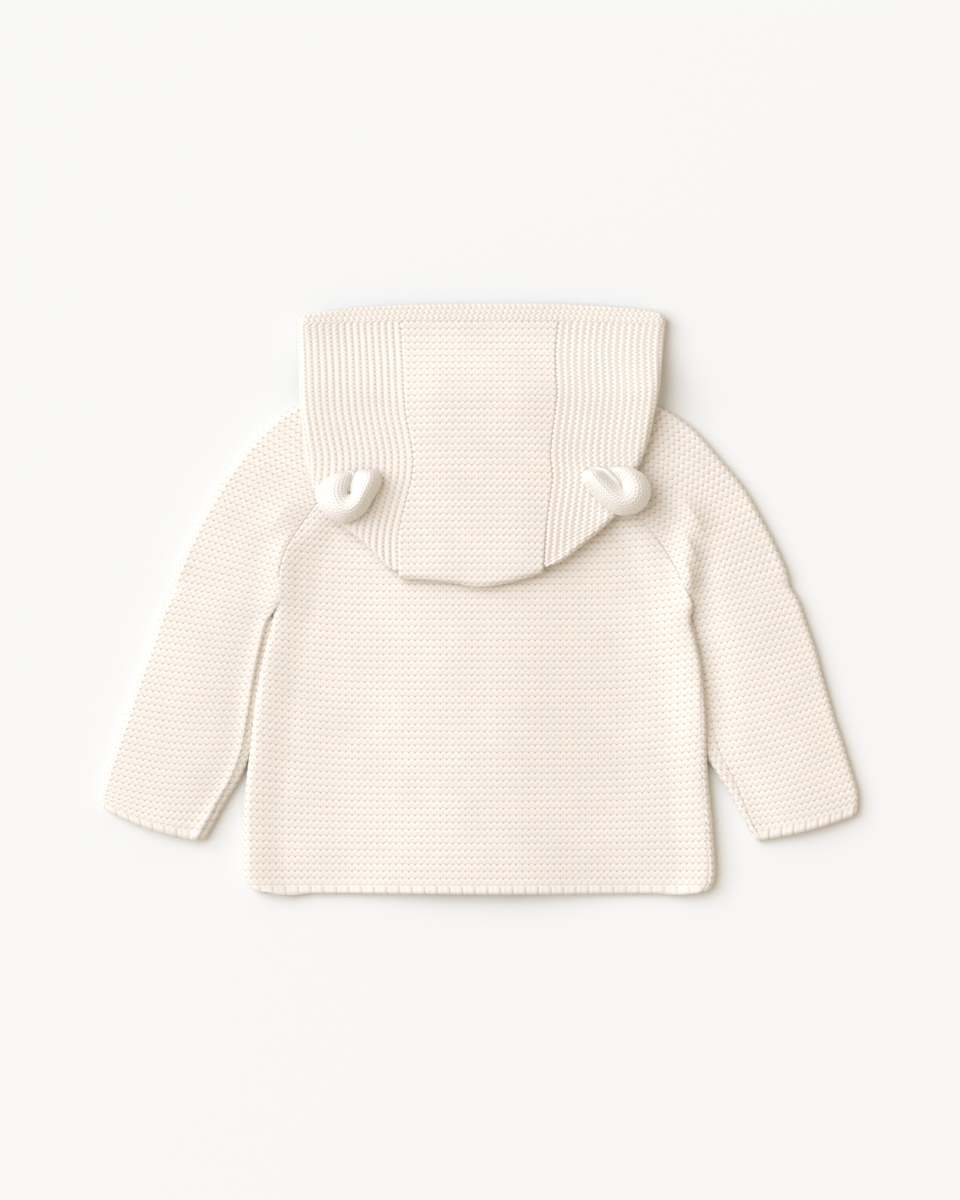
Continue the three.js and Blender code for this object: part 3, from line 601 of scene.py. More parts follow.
@dataclass
class Cloth:
    """One piece of knitted cloth, from a fine grid to a mesh with its stitches raised.

    Attributes:
        name: The piece's name.
        grid: Points of the outer face in millimetres, a multiple of CELLS cells each way.
        across: Each point's place across the knitting, in stitches.
        along: Each point's place along the knitting, in ridges.
        gauge: The stitches' sizes.
        up: Whether the outer face looks up at the reference point.
        at: The reference point, as shares of the rows and columns.
        keep: Which coarse cells the piece has, or None for all.
        bar_distance: Distance of each point from a cast-off edge, or None where there is none.
        wall: The cloth's thickness.
        lowest: Height that no point goes below.
        close: How far its edges are drawn out to meet the next piece's.
    """

    name: str
    grid: np.ndarray
    across: np.ndarray
    along: np.ndarray
    gauge: Gauge = GARTER
    up: bool = True
    at: tuple[float, float] = (0.5, 0.25)
    keep: np.ndarray | None = None
    bar_distance: np.ndarray | None = None
    wall: float = WALL
    lowest: float = 0.0
    close: float = SEAM_CLOSE

    def edge_distance(self) -> np.ndarray:
        """Distance of each point from the nearest edge of its grid."""
        down = np.linalg.norm(np.diff(self.grid, axis=0), axis=2).cumsum(0)
        over = np.linalg.norm(np.diff(self.grid, axis=1), axis=2).cumsum(1)
        down = np.concatenate([np.zeros((1, down.shape[1])), down])
        over = np.concatenate([np.zeros((over.shape[0], 1)), over], axis=1)
        return np.minimum.reduce([down, down[-1:] - down, over, over[:, -1:] - over])

    def bar_share(self) -> np.ndarray:
        """Share of the cast-off bars in each point's stitch."""
        if self.bar_distance is None:
            return np.zeros(self.grid.shape[:2])
        return ease((BAR_LENGTH + BAR_FADE / 2 - self.bar_distance) / BAR_FADE)

    def relief(self) -> tuple[np.ndarray, np.ndarray]:
        """How far each point stands off the grid, and the height of its stitch from 0 to 1."""
        wobble = WOBBLE * np.sin(0.9 * self.along + 2.1 * np.sin(0.37 * self.across))
        stitch = garter(self.across + wobble, self.along + 0.5 * wobble, self.gauge.zigzag)
        stitch = mix(stitch, bars(self.across), self.bar_share())
        edge = self.edge_distance()
        drop = rounding(edge, SEAM_ROUND)
        if self.bar_distance is not None:
            drop = np.maximum(drop, rounding(self.bar_distance, EDGE_ROUND))
        height = self.gauge.relief * (stitch - GRID_LEVEL) * (0.5 + 0.5 * ease(edge / RELIEF_FADE))
        return height - drop, stitch

    def closed_seams(self) -> np.ndarray:
        """The grid with its edges drawn out to meet the next piece's."""
        grid = self.grid.copy()
        for axis in (0, 1):
            view = grid.swapaxes(0, axis)
            for end, beside in ((0, 1), (-1, -2)):
                way = view[end] - view[beside]
                far = np.maximum(np.linalg.norm(way, axis=1, keepdims=True), 1e-9)
                view[end] += self.close * way / far
        return grid

    def mesh(self) -> bpy.types.Mesh:
        """The closed mesh, in metres, with its stitches' places and heights as attributes."""
        tall, wide = ((size - 1) // CELLS for size in self.grid.shape[:2])
        keep = np.ones((tall, wide), bool) if self.keep is None else self.keep
        grid = self.closed_seams()
        normal, flip = facing(grid, self.up, self.at)
        stand, stitch = self.relief()
        outer = grid + normal * stand[..., None]
        coarse = np.s_[::CELLS, ::CELLS]
        inner = grid[coarse] - normal[coarse] * self.wall
        points = np.concatenate([outer.reshape(-1, 3), inner.reshape(-1, 3)])
        points[:, 2] = np.maximum(points[:, 2], self.lowest + 0.02)
        places = np.zeros((len(points), 3))
        places[: outer.size // 3] = np.stack([self.across, self.along, stitch], axis=-1).reshape(-1, 3)
        faces = closed_faces(keep, flip)
        used = np.unique(np.concatenate([np.asarray(face) for face in faces]))
        number = np.full(len(points), -1)
        number[used] = np.arange(len(used))
        renumber = number.tolist()
        mesh = bpy.data.meshes.new(f"{self.name}_knit")
        where = (points[used] + (TO_MIDDLE_X, 0, 0)) * MM
        mesh.from_pydata(where.tolist(), [], [[renumber[k] for k in face] for face in faces])
        mesh.shade_smooth()
        stored = mesh.attributes.new("stitch", "FLOAT_VECTOR", "POINT")
        stored.data.foreach_set("vector", places[used].astype(np.float32).ravel())
        share = np.zeros(len(points))
        share[: outer.size // 3] = self.bar_share().ravel()
        edging = mesh.attributes.new("bars", "FLOAT", "POINT")
        edging.data.foreach_set("value", share[used].astype(np.float32))
        return mesh

    def show(self, material: bpy.types.Material) -> bpy.types.Object:
        """Shows the piece in place of its CAD node.

        Args:
            material: The piece's material.

        Returns:
            The object.
        """
        mesh = self.mesh()
        mesh.materials.append(material)
        piece = bpy.data.objects.new(mesh.name, mesh)
        bpy.context.scene.collection.objects.link(piece)
        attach(piece, "root")
        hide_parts(self.name)
        log.info("%s: %d faces", self.name, len(mesh.polygons))
        return piece


@dataclass(frozen=True)
class Row:
    """One row of the body: its two edges in plan, the right seam's turn, and whether it is folded."""

    left: tuple[float, float]
    right: tuple[float, float]
    turn: float
    folded: bool

    def y(self, x: np.ndarray) -> np.ndarray:
        """Height of the row on the garment at x."""
        y = mix(self.left[1], self.right[1], (x - self.left[0]) / (self.right[0] - self.left[0]))
        arch = 1 - np.minimum(np.abs(x) / HEM_HALF, 1) ** 2
        bow = HEM_BOW * arch * ease((20 - y) / 60) * ease((y - HEM) / 40)
        dip = NECK_DIP * ease((y - 60) / 50) * (1 - np.minimum(np.abs(x) / NECK_HALF, 1) ** 2)
        return y - bow - dip

    def edge(self, side: Side) -> float:
        """The row's half width on one side."""
        return -self.left[0] if side is Side.LEFT else self.right[0]


def body_rows() -> list[Row]:
    """Rows of the body from the hem to the neck."""
    below = [Row((-left, y), (right, y), turn, True) for y, left, right, turn in BODY_EDGE]
    pairs = zip(RAGLAN[Side.LEFT], RAGLAN[Side.RIGHT])
    return below + [Row((-a[0], a[1]), (b[0], b[1]), 90, False) for a, b in pairs]


def crease_rise(side: Side, x: np.ndarray, y: np.ndarray) -> np.ndarray:
    """Rise of the crease beside an armhole, at x measured towards that side."""
    table = CREASE[side]
    off = x - read(table, 1, y)
    shape = np.where(off < 0, ease(1 + off / CREASE_NEAR), np.clip(1 - off / CREASE_FAR, 0, 1) ** 2)
    low, high = table[0][0], table[-1][0]
    inside = (y <= high) & (y >= low - CREASE_END)
    return np.where(inside, read(table, 2, y) * shape * ease((y - low + CREASE_END) / CREASE_END), 0)


def back_floor(x: np.ndarray, y: float, edge: np.ndarray) -> np.ndarray:
    """Height of the back's lower face. edge is the body's half width there."""
    centre = mix(BACK_FLOOR, WALL + LAYER_GAP, ease((np.abs(x) - DROP_START) / DROP_WIDTH))
    roll = ROLL_RISE * ease((np.abs(x) - edge + ROLL_START) / ROLL_WIDTH)
    return centre + roll * ease((NECK - y) / 70)


def leaned(points: np.ndarray) -> np.ndarray:
    """The body's points with its right edge swelling up and out over the sleeve beside it."""
    x, y, z = np.moveaxis(points, -1, 0)
    edge = read(tuple((row[0], row[2]) for row in BODY_EDGE), 1, y.ravel()).reshape(y.shape)
    share = ease((x - edge + EDGE_START) / EDGE_WIDTH)
    share = share * ease((y - EDGE_FOOT) / 50) * ease((EDGE_TOP - y) / 22)
    share = share * np.clip(z / (2 * SIDE_RADIUS), 0, 1.2)
    return np.stack([x + EDGE_LEAN * share * ease((z - 2) / 6), y, z + EDGE_SWELL * share], axis=-1)


def body_ridge(x: np.ndarray, y: np.ndarray) -> np.ndarray:
    """Ridge of the body at a point, counted down from the neck. Ridges rise towards the two sides."""
    rise = RIDGE_CURVE * np.maximum(np.abs(x) - RIDGE_FLAT, 0) ** 2 * ease((y - HEM) / 110)
    return (NECK - y + rise) / GARTER.ridge


@dataclass
class Body:
    """The back and the two fronts.

    Attributes:
        back_cells: Fine cells of the back across and along.
        front_cells: Fine cells of each front.
    """

    back_cells: tuple[int, int] = (300, 272)
    front_cells: tuple[int, int] = (128, 200)

    def back_row(self, row: Row) -> np.ndarray:
        """One row of the back, over the fold at each side."""
        left, right = row.edge(Side.LEFT), row.edge(Side.RIGHT)
        inner_left, inner_right = SIDE_RADIUS - left, right - SIDE_RADIUS

        def height(x: np.ndarray) -> np.ndarray:
            level = back_floor(x, row.left[1], np.where(x < 0, left, right)) + WALL
            if row.folded:
                return level
            y = row.y(x)
            return level + np.where(x < 0, crease_rise(Side.LEFT, -x, y), crease_rise(Side.RIGHT, x, y))

        if row.folded:
            near = fold(inner_left, SIDE_RADIUS, SIDE_RADIUS, 90 - SEAM_TURN, 0, -1)
            far = fold(inner_right, SIDE_RADIUS, SIDE_RADIUS, 0, max(row.turn - SEAM_TURN, 1))
        else:
            near = run(-left, inner_left, 12, height)
            far = run(inner_right, right, 12, height)
        profile = np.vstack([near, run(inner_left, inner_right, 160, height)[1:-1], far])
        zero = float(np.interp(0, profile[:, 0], lengths(profile)))
        return row_of(profile, lambda x: np.column_stack([x, row.y(x)]), self.back_cells[0], zero)

    def front_row(self, row: Row, side: Side) -> np.ndarray:
        """One row of a front, from the side fold past the middle, with X towards its own side."""
        edge = row.edge(side)
        low = BUTTON_LIFT if side is Side.LEFT else UNDER_FRONT
        turn = 90 + SEAM_TURN if side is Side.LEFT else row.turn + SEAM_TURN

        def height(x: np.ndarray) -> np.ndarray:
            return low * (1 - ease((x - 18) / 30))

        if row.folded:
            near = fold(edge - SIDE_RADIUS, SIDE_RADIUS, SIDE_RADIUS, turn, 180)
        else:
            near = run(edge, edge - SIDE_RADIUS, 12, height)
        profile = np.vstack([near, run(edge - SIDE_RADIUS, -OVERLAP_HALF, 100, height)[1:]])

        def place(x: np.ndarray) -> np.ndarray:
            return np.column_stack([x, row.y(side.value * x)])

        return row_of(profile, place, self.front_cells[0], 0.0)

    def build(self, cotton: bpy.types.Material) -> None:
        """Builds the three panels."""
        rows = body_rows()
        grid, _ = loft(np.array([self.back_row(row) for row in rows]), self.back_cells[1])
        points = leaned(grid[..., :3])
        hem = points[..., 1] - points[:1, :, 1]
        along = body_ridge(points[..., 0], points[..., 1])
        back = Cloth("back", points, grid[..., 3] / GARTER.stitch, along, bar_distance=hem)
        back.show(cotton)
        for side in Side:
            grid, _ = loft(np.array([self.front_row(row, side) for row in rows]), self.front_cells[1])
            points = leaned(grid[..., :3] * (side.value, 1, 1))
            name = f"front_{side.name.lower()}"
            along = body_ridge(points[..., 0], points[..., 1])
            front = Cloth(name, points, grid[..., 3] / GARTER.stitch, along, up=False, at=(0.5, 0.6))
            front.show(cotton)


@dataclass
class Sleeve:
    """One sleeve: a sheet from its seam on the upper layer, over the outer fold and back beneath.

    Attributes:
        side: Which sleeve it is.
        valley: Depth of the valley along the body.
        hump: How far the tube's inner fold stands up beside the body.
        radius: Radius of its folds.
        crown: How far its upper layer stands up, on the tube and on the cap.
        crown_start: Distance from the inner fold over which the crown grows.
        valley_at: Place and width of the valley, from the inner fold.
        hump_at: Place and width of the hump.
        cells: Fine cells round and along.
    """

    side: Side
    valley: float
    hump: float
    radius: float = 3.5
    crown: tuple[float, float] = (2.2, 1.1)
    crown_start: float = 14.0
    valley_at: tuple[float, float] = (13.0, 9.0)
    hump_at: tuple[float, float] = (5.0, 5.0)
    cells: tuple[int, int] = (176, 312)

    def row(self, values: Sequence[float]) -> np.ndarray:
        """One row, flat beneath at the armhole and closed round the tube."""
        tube = len(values) > 4
        x, y, fold_x, fold_y = values[:4]
        bow, seam = values[4:] if tube else (0.0, 0.0)
        press = SLEEVE_PRESS * float(ease((PRESS_TOP - y) / PRESS_TOP) * ease((y - PRESS_FOOT) / 40))
        start = np.array([x + 2 * SEAM_GAP - press, y + (0 if tube else 2 * SEAM_GAP)])
        way = np.array([fold_x, fold_y]) - start
        width = float(np.hypot(*way))
        way /= width
        turn = width - self.radius
        high = 2 * self.radius
        seam_top = high if tube else float(back_floor(np.array(x), y, np.array(x))) + WALL

        def place(q: np.ndarray) -> np.ndarray:
            sag = bow * np.sin(np.pi * np.clip(q / width, 0, 1))
            return np.column_stack([start[0] + way[0] * q, start[1] + way[1] * q - sag])

        def top(q: np.ndarray) -> np.ndarray:
            level = mix(seam_top, high, ease(q / turn / 0.7))
            lift = ease(q / self.crown_start) if tube else 1
            puff = self.crown[0 if tube else 1] * lift * np.sin(np.pi * np.clip(q / turn, 0, 1))
            plan = place(np.atleast_1d(q))
            sunk = self.valley * (0.5 if tube else 1) * ease((60 - y) / 30)
            sunk = sunk * swell(q, self.valley_at)
            hump = self.hump * swell(q, self.hump_at) * ease((4 - y) / 18)
            return level + puff + hump - sunk + crease_rise(self.side, plan[:, 0], plan[:, 1])

        outer = fold(turn, self.radius, self.radius, 0, 180)
        upper = run(seam, turn, 70, top)
        beneath = run(turn, self.radius, 40, lambda q: 0)
        if tube:
            end = seam - SEAM_GAP
            inner = fold(self.radius, self.radius, self.radius, 180, 360)
            inner = np.vstack([inner[1:], [[end, float(top(np.array([end]))[0])]]])
        else:
            inner = run(self.radius, 0, 17, lambda q: 0)[1:]
        profile = np.vstack([upper, outer[1:], beneath[1:], inner])
        zero = lengths(upper)[-1] + math.pi * self.radius / 2
        return row_of(profile, place, self.cells[0], zero)

    def build(self, cotton: bpy.types.Material) -> bpy.types.Object:
        """Builds the sleeve."""
        rows = [self.row(v) for v in [*reversed(RAGLAN[self.side]), *SLEEVE[self.side]]]
        grid, down = loft(np.array(rows), self.cells[1])
        points = grid[..., :3] * (self.side.value, 1, 1)
        along = np.broadcast_to((down / GARTER.ridge)[:, None], points.shape[:2])
        cuff = np.broadcast_to((down[-1] - down)[:, None], points.shape[:2])
        name = f"sleeve_{self.side.name.lower()}"
        across = grid[..., 3] / GARTER.stitch
        cloth = Cloth(name, points, across, along, bar_distance=cuff, at=(0.7, 0.25))
        return cloth.show(cotton)


def drape_floor(x: np.ndarray) -> np.ndarray:
    """Height of the hood's lower layer over the body."""
    share = ease((np.abs(x) - DRAPE_START) / DRAPE_WIDTH)
    return mix(BACK_FLOOR + WALL + LAYER_GAP, HOOD_SIDE_FLOOR, share)


def flange_floor(x: np.ndarray, y: np.ndarray) -> np.ndarray:
    """Height of the hood's lower layer beyond the shoulders, down to the surface at its opening."""
    near = mix(FLANGE_NECK, drape_floor(x), ease((np.abs(x) - FLANGE_START) / FLANGE_WIDTH))
    return mix(near, MOUTH_FLOOR, ease((y - SHOULDER_LINE) / FLANGE_RAMP))


def hood_top(x: np.ndarray, y: np.ndarray) -> np.ndarray:
    """Height of the hood's upper face."""
    return mix(drape_floor(x) + HOOD_THICK, MOUTH_TOP, ease((y - TOP_LINE) / TOP_RAMP))


@dataclass
class HoodSide:
    """One side of the hood, from its seam with the centre strip round the outer fold and back beneath.

    Attributes:
        side: Which side it is.
        radius: Radius of the outer fold.
        cells: Coarse cells round the main part, and along its lower flange.
        rows_above: Coarse cells from the opening to the neck.
        rows_below: Coarse cells below the neck.
    """

    side: Side
    radius: float = HOOD_RADIUS
    cells: tuple[int, int] = (36, 14)
    rows_above: int = 16
    rows_below: int = 27

    def row(self, k: float) -> tuple[np.ndarray, np.ndarray]:
        """The row at place k of the table, as the points of its main part and of its flange."""
        table = HOOD[self.side]
        x, y, fold_x, fold_y = through(np.arange(len(table)), np.array(table), np.array([k]))[0]
        neck_x, neck_y, neck_fold = table[NECK_ROW][:3]
        start = np.array([x + SEAM_GAP, y])
        way = np.array([fold_x, fold_y]) - start
        width = float(np.hypot(*way))
        way /= width
        turn = width - self.radius
        open_row = k <= NECK_ROW

        def place(q: np.ndarray) -> np.ndarray:
            return start + np.atleast_1d(q)[:, None] * way

        def floor(q: np.ndarray) -> np.ndarray:
            plan = place(q)
            flange = flange_floor(plan[:, 0], plan[:, 1])
            free = (k < NECK_ROW) | (np.atleast_1d(q) < 0)
            return np.where(free, flange, np.maximum(drape_floor(plan[:, 0]), flange))

        low = float(floor(np.array([turn]))[0])

        def top(q: np.ndarray) -> np.ndarray:
            plan = place(q)
            edge = low + 2 * self.radius
            return mix(hood_top(plan[:, 0], plan[:, 1]), edge, ease((q / turn - 0.5) / 0.5))

        mouth = mix(MOUTH_WIDE, MOUTH_NARROW, (table[0][1] - y) / (table[0][1] - neck_y))
        shared = (neck_fold - neck_x - SEAM_GAP) / (neck_fold - MOUTH_NARROW)
        split = width - (fold_x - mouth) * shared if open_row else 0.9
        upper = run(0, turn, 80, top)
        outer = fold(turn, low + self.radius, self.radius, 0, 180)
        beneath = run(turn, split, 50, floor)
        main = np.vstack([upper, outer[1:], beneath[1:]])
        columns = self.cells[0] * CELLS
        main_row = row_of(main, place, columns, 0.0)
        end = mouth - x - SEAM_GAP if open_row else split - 4
        flange_row = row_of(run(split, end, 30, floor), place, self.cells[1] * CELLS, -main_row[-1, 3])
        return main_row, flange_row

    def build(self, cotton: bpy.types.Material) -> bpy.types.Object:
        """Builds the side panel, whose lower layer stops at the centre strip below the neck."""
        above = self.spread(0, NECK_ROW, self.rows_above * CELLS)
        below = self.spread(NECK_ROW, len(HOOD[self.side]) - 1, self.rows_below * CELLS)
        rows = [self.row(k) for k in [*above, *below[1:]]]
        main = np.array([part for part, _ in rows])
        step = np.linalg.norm(np.diff(main[..., :3], axis=0), axis=2).mean(1)
        down = np.concatenate([[0.0], step.cumsum()])
        flange = np.array([part for _, part in rows[: len(above)]])
        flange = np.concatenate([flange, np.repeat(flange[-1:], len(below) - 1, axis=0)])
        grid = np.concatenate([main, flange[:, 1:]], axis=1)
        points = grid[..., :3] * (self.side.value, 1, 1)
        ridge = grid[..., 3] / HOOD_GARTER.ridge
        stitch = np.broadcast_to((down / HOOD_GARTER.stitch)[:, None], ridge.shape)
        keep = np.ones((self.rows_above + self.rows_below, sum(self.cells)), bool)
        keep[self.rows_above :, self.cells[0] :] = False
        name = f"hood_side_{self.side.name.lower()}"
        cloth = Cloth(name, points, stitch, ridge, HOOD_GARTER, at=(0.5, 0.15), keep=keep)
        return cloth.show(cotton)

    def spread(self, first: int, last: int, cells: int) -> np.ndarray:
        """Places in the table, evenly spaced down the hood from its row first to its row last."""
        middle = np.array(HOOD[self.side][first : last + 1]).reshape(-1, 2, 2).mean(1)
        far = lengths(middle)
        return np.interp(np.linspace(0, far[-1], cells + 1), far, np.arange(first, last + 1))


@dataclass
class HoodCentre:
    """The hood's centre strip, from the opening over its lower fold and back to the nape.

    Attributes:
        radius: Radius of the lower fold.
        cells: Fine cells along and across.
    """

    radius: float = HOOD_RADIUS
    cells: tuple[int, int] = (332, 120)

    def line(self, across: float) -> np.ndarray:
        """One line of the strip along its length, at a share of its width."""
        foot = float(read(HOOD_FOOT, 1, across)[0])
        turn = HOOD_OPENING - foot - self.radius

        def x_at(q: np.ndarray) -> np.ndarray:
            y = HOOD_OPENING - np.atleast_1d(q)
            left = read_y(HOOD[Side.LEFT], 0, y) - SEAM_GAP
            right = read_y(HOOD[Side.RIGHT], 0, y) - SEAM_GAP
            return mix(-left, right, across)

        def place(q: np.ndarray) -> np.ndarray:
            return np.column_stack([x_at(q), HOOD_OPENING - np.atleast_1d(q)])

        low = float(drape_floor(x_at(np.array([turn])))[0])

        def top(q: np.ndarray) -> np.ndarray:
            crest = low + 2 * self.radius
            return mix(hood_top(x_at(q), HOOD_OPENING - q), crest, ease((q - turn + 30) / 30))

        nape_x = float(x_at(np.array([HOOD_OPENING - NECK]))[0])
        nape = NECK - NECK_DIP * (1 - min(abs(nape_x) / NECK_HALF, 1) ** 2)
        outer = fold(turn, low + self.radius, self.radius, 0, 180)
        beneath = run(turn, HOOD_OPENING - nape, 60, lambda q: drape_floor(x_at(q)))
        profile = np.vstack([run(0, turn, 120, top), outer[1:], beneath[1:]])
        return row_of(profile, place, self.cells[0], 0.0)

    def build(self, cotton: bpy.types.Material) -> bpy.types.Object:
        """Builds the strip."""
        grid = np.array([self.line(k / self.cells[1]) for k in range(self.cells[1] + 1)])
        points = grid[..., :3]
        along = grid[..., 3] / GARTER.ridge
        cloth = Cloth("hood_centre", points, points[..., 0] / GARTER.stitch, along, at=(0.5, 0.2))
        return cloth.show(cotton)


@dataclass
class HoodBand:
    """The band round the hood's opening, from throat to throat over the top.

    Attributes:
        width: Its width beside the opening.
        least: Its least width across the top.
        ridge: Spacing of its slanted ridges.
        slant: How far a ridge leans across the band, in ridges.
        corner: Where the band starts to turn round the hood's corner.
        middle: Where its part over the centre strip starts and ends.
        cells: Fine cells along and across.
    """

    width: float = 9.0
    least: float = 4.2
    ridge: float = 3.4
    slant: float = 0.9
    corner: float = 95.0
    middle: tuple[float, float] = (-42.0, 40.0)
    cells: tuple[int, int] = (560, 12)

    def half(self, side: Side) -> list[tuple[np.ndarray, float]]:
        """Points of the opening's edge from the centre strip to the throat, each with its turn."""
        panel = HoodSide(side)
        main, flange = panel.row(0)
        inside = 1e3 * (main[:, 0] < self.corner)
        fold_end = int(np.argmin(np.abs(main[:, 2] - main[-1, 2]) + inside))
        points = [(main[k, :3], 0.0) for k in range(0, fold_end, 3)]
        points.append((flange[-1, :3], 0.5))
        points += [(panel.row(k)[1][-1, :3], 1.0) for k in range(1, NECK_ROW + 1)]
        sign = side.value
        return [(point * (sign, 1, 1), -sign * turn) for point, turn in points]

    def build(self, cotton: bpy.types.Material) -> bpy.types.Object:
        """Builds the band."""
        fall = HOOD_OPENING - HOOD[Side.LEFT][NECK_ROW][1]
        slope = fall / (MOUTH_WIDE - MOUTH_NARROW)
        opening = np.array(HOOD_OPENING)
        centre = [
            (np.array([x, HOOD_OPENING, float(hood_top(np.array(x), opening))]), 0.0)
            for x in np.linspace(*self.middle, 16)
        ]
        path = [*self.half(Side.LEFT)[::-1], *centre, *self.half(Side.RIGHT)]
        rows = []
        for point, turn in path:
            way = np.array([turn * slope, 1.0, 0.0])
            way /= np.linalg.norm(way)
            upper = float(read(BAND_EDGE, 1, point[0])[0]) - point[1] - SEAM_GAP
            width = self.width if abs(turn) == 1 else max(upper, self.least)
            places = point + way * (SEAM_GAP + np.linspace(0, width, 5))[:, None]
            if turn:
                places[:, 2] += flange_floor(places[:, 0], places[:, 1])
                places[:, 2] -= float(flange_floor(point[0], point[1]))
            rows.append(np.column_stack([places, np.linspace(0, width, 5)]))
        grid, down = loft(np.array(rows), self.cells[0])
        over, _ = loft(grid.transpose(1, 0, 2), self.cells[1])
        grid = over.transpose(1, 0, 2)
        points = grid[..., :3]
        ridge = (down / self.ridge)[:, None] - self.slant * grid[..., 3] / self.width
        cloth = Cloth("hood_band", points, grid[..., 3] / HOOD_GARTER.stitch, ridge, at=(0.5, 0.5))
        return cloth.show(cotton)


@dataclass
class Ear:
    """One ear: a sheet of fine knitting that arches all round a slit, like a cup on its side.

    Attributes:
        side: Which ear it is.
        base: Height of the hood's upper face beneath it.
        roundness: Below 1 the arch is blunter than half a wave.
        tip: Share of the turn over which each end is rounded off.
        hollow: Height of the hollow at the slit, as a share of the crest's.
        ridges: How many ridges run round the slit.
        cells: Fine cells round the slit and from it to the edge.
    """

    side: Side
    base: float = 18.9
    roundness: float = 0.62
    tip: float = 0.1
    hollow: float = 0.4
    ridges: int = 12
    cells: tuple[int, int] = (160, 72)

    def row(self, turn: float) -> np.ndarray:
        """One row from the slit to the outer edge."""
        x, y, edge_x, edge_y, rise = (float(read(EAR[self.side], k, turn)[0]) for k in range(1, 6))
        across = np.array([float(read(EAR[self.side], k, 1 - turn)[0]) for k in (1, 2)])
        slit, edge = np.array([x, y]), np.array([edge_x, edge_y])
        near = 1 - min(min(turn, 1 - turn) / self.tip, 1)
        narrow = max(math.sqrt(1 - near**2), 0.2)
        slit, edge = mix((slit + edge) / 2, slit, narrow), mix((slit + edge) / 2, edge, narrow)
        start = mix(slit, (slit + across) / 2, narrow)
        floor = float(np.hypot(*(slit - start)))
        way = edge - start
        width = float(np.hypot(*way))

        def height(q: np.ndarray) -> np.ndarray:
            share = np.clip((q - floor) / (width - floor), 0, 1)
            arch = np.maximum(np.sin(np.pi * share), 0) ** self.roundness
            return self.base + rise * narrow * np.where(share < 0.5, mix(self.hollow, 1, arch), arch)

        def place(q: np.ndarray) -> np.ndarray:
            return start + q[:, None] * way / width

        return row_of(run(0, width, 200, height), place, self.cells[1], 0.0)

    def build(self, cotton: bpy.types.Material) -> bpy.types.Object:
        """Builds the ear."""
        grid = np.array([self.row(k / self.cells[0]) for k in range(self.cells[0] + 1)])
        points = grid[..., :3]
        step = np.linalg.norm(np.diff(points, axis=0), axis=2).mean(1)
        round_slit = np.concatenate([[0], step.cumsum()])[:, None] / EAR_GARTER.stitch
        across = np.broadcast_to(round_slit, points.shape[:2])
        along = np.broadcast_to(grid[:1, :, 3] / grid[:1, -1:, 3] * self.ridges, points.shape[:2])
        name = f"ear_{self.side.name.lower()}"
        middle = (0.5, 0.5)
        cloth = Cloth(
            name, points, across, along, EAR_GARTER, at=middle, lowest=self.base, close=0.0
        )
        return cloth.show(cotton)


MATH = "ShaderNodeMath"
RANGE = "ShaderNodeMapRange"
NOISE = "ShaderNodeTexNoise"
TURN = 2 * math.pi

# The drawn stitches, in shares of a ridge: a valley's half width, and the places of dots and strokes
VALLEY_HALF = 0.22
DOT_PLACE = 0.58
STROKE_PLACE = 0.2


def add_node(
    tree: bpy.types.NodeTree, kind: str, inputs: dict[Any, Any] | None = None, **settings: Any
) -> bpy.types.Node:
    """Adds a node.

    Args:
        tree: The tree that it goes into.
        kind: Blender's name for the kind of node.
        inputs: Its inputs by name or place: values, outputs, or nodes that give their first output.
        settings: Its own settings.

    Returns:
        The node.
    """
    node = tree.nodes.new(kind)
    for name, value in settings.items():
        setattr(node, name, value)
    for name, value in (inputs or {}).items():
        source = value.outputs[0] if isinstance(value, bpy.types.Node) else value
        if isinstance(source, bpy.types.NodeSocket):
            tree.links.new(source, node.inputs[name])
        else:
            node.inputs[name].default_value = source
    return node


def band(
    tree: bpy.types.NodeTree, along: bpy.types.NodeSocket, middle: float, start: float, end: float
) -> bpy.types.Node:
    """A band across every ridge.

    Args:
        tree: The material's tree.
        along: Place along the knitting, in ridges.
        middle: Where the band's middle lies, as a share of the ridge.
        start: Cosine of the turn from the middle at which the band starts.
        end: Cosine at which it is full.

    Returns:
        The node whose first output is 1 in the band and 0 beside it.
    """
    turn = add_node(tree, MATH, {0: along, 1: TURN, 2: -TURN * middle}, operation="MULTIPLY_ADD")
    wave = add_node(tree, MATH, {0: turn}, operation="COSINE")
    return add_node(tree, RANGE, {0: wave, 1: start, 2: end, 3: 0.0, 4: 1.0})


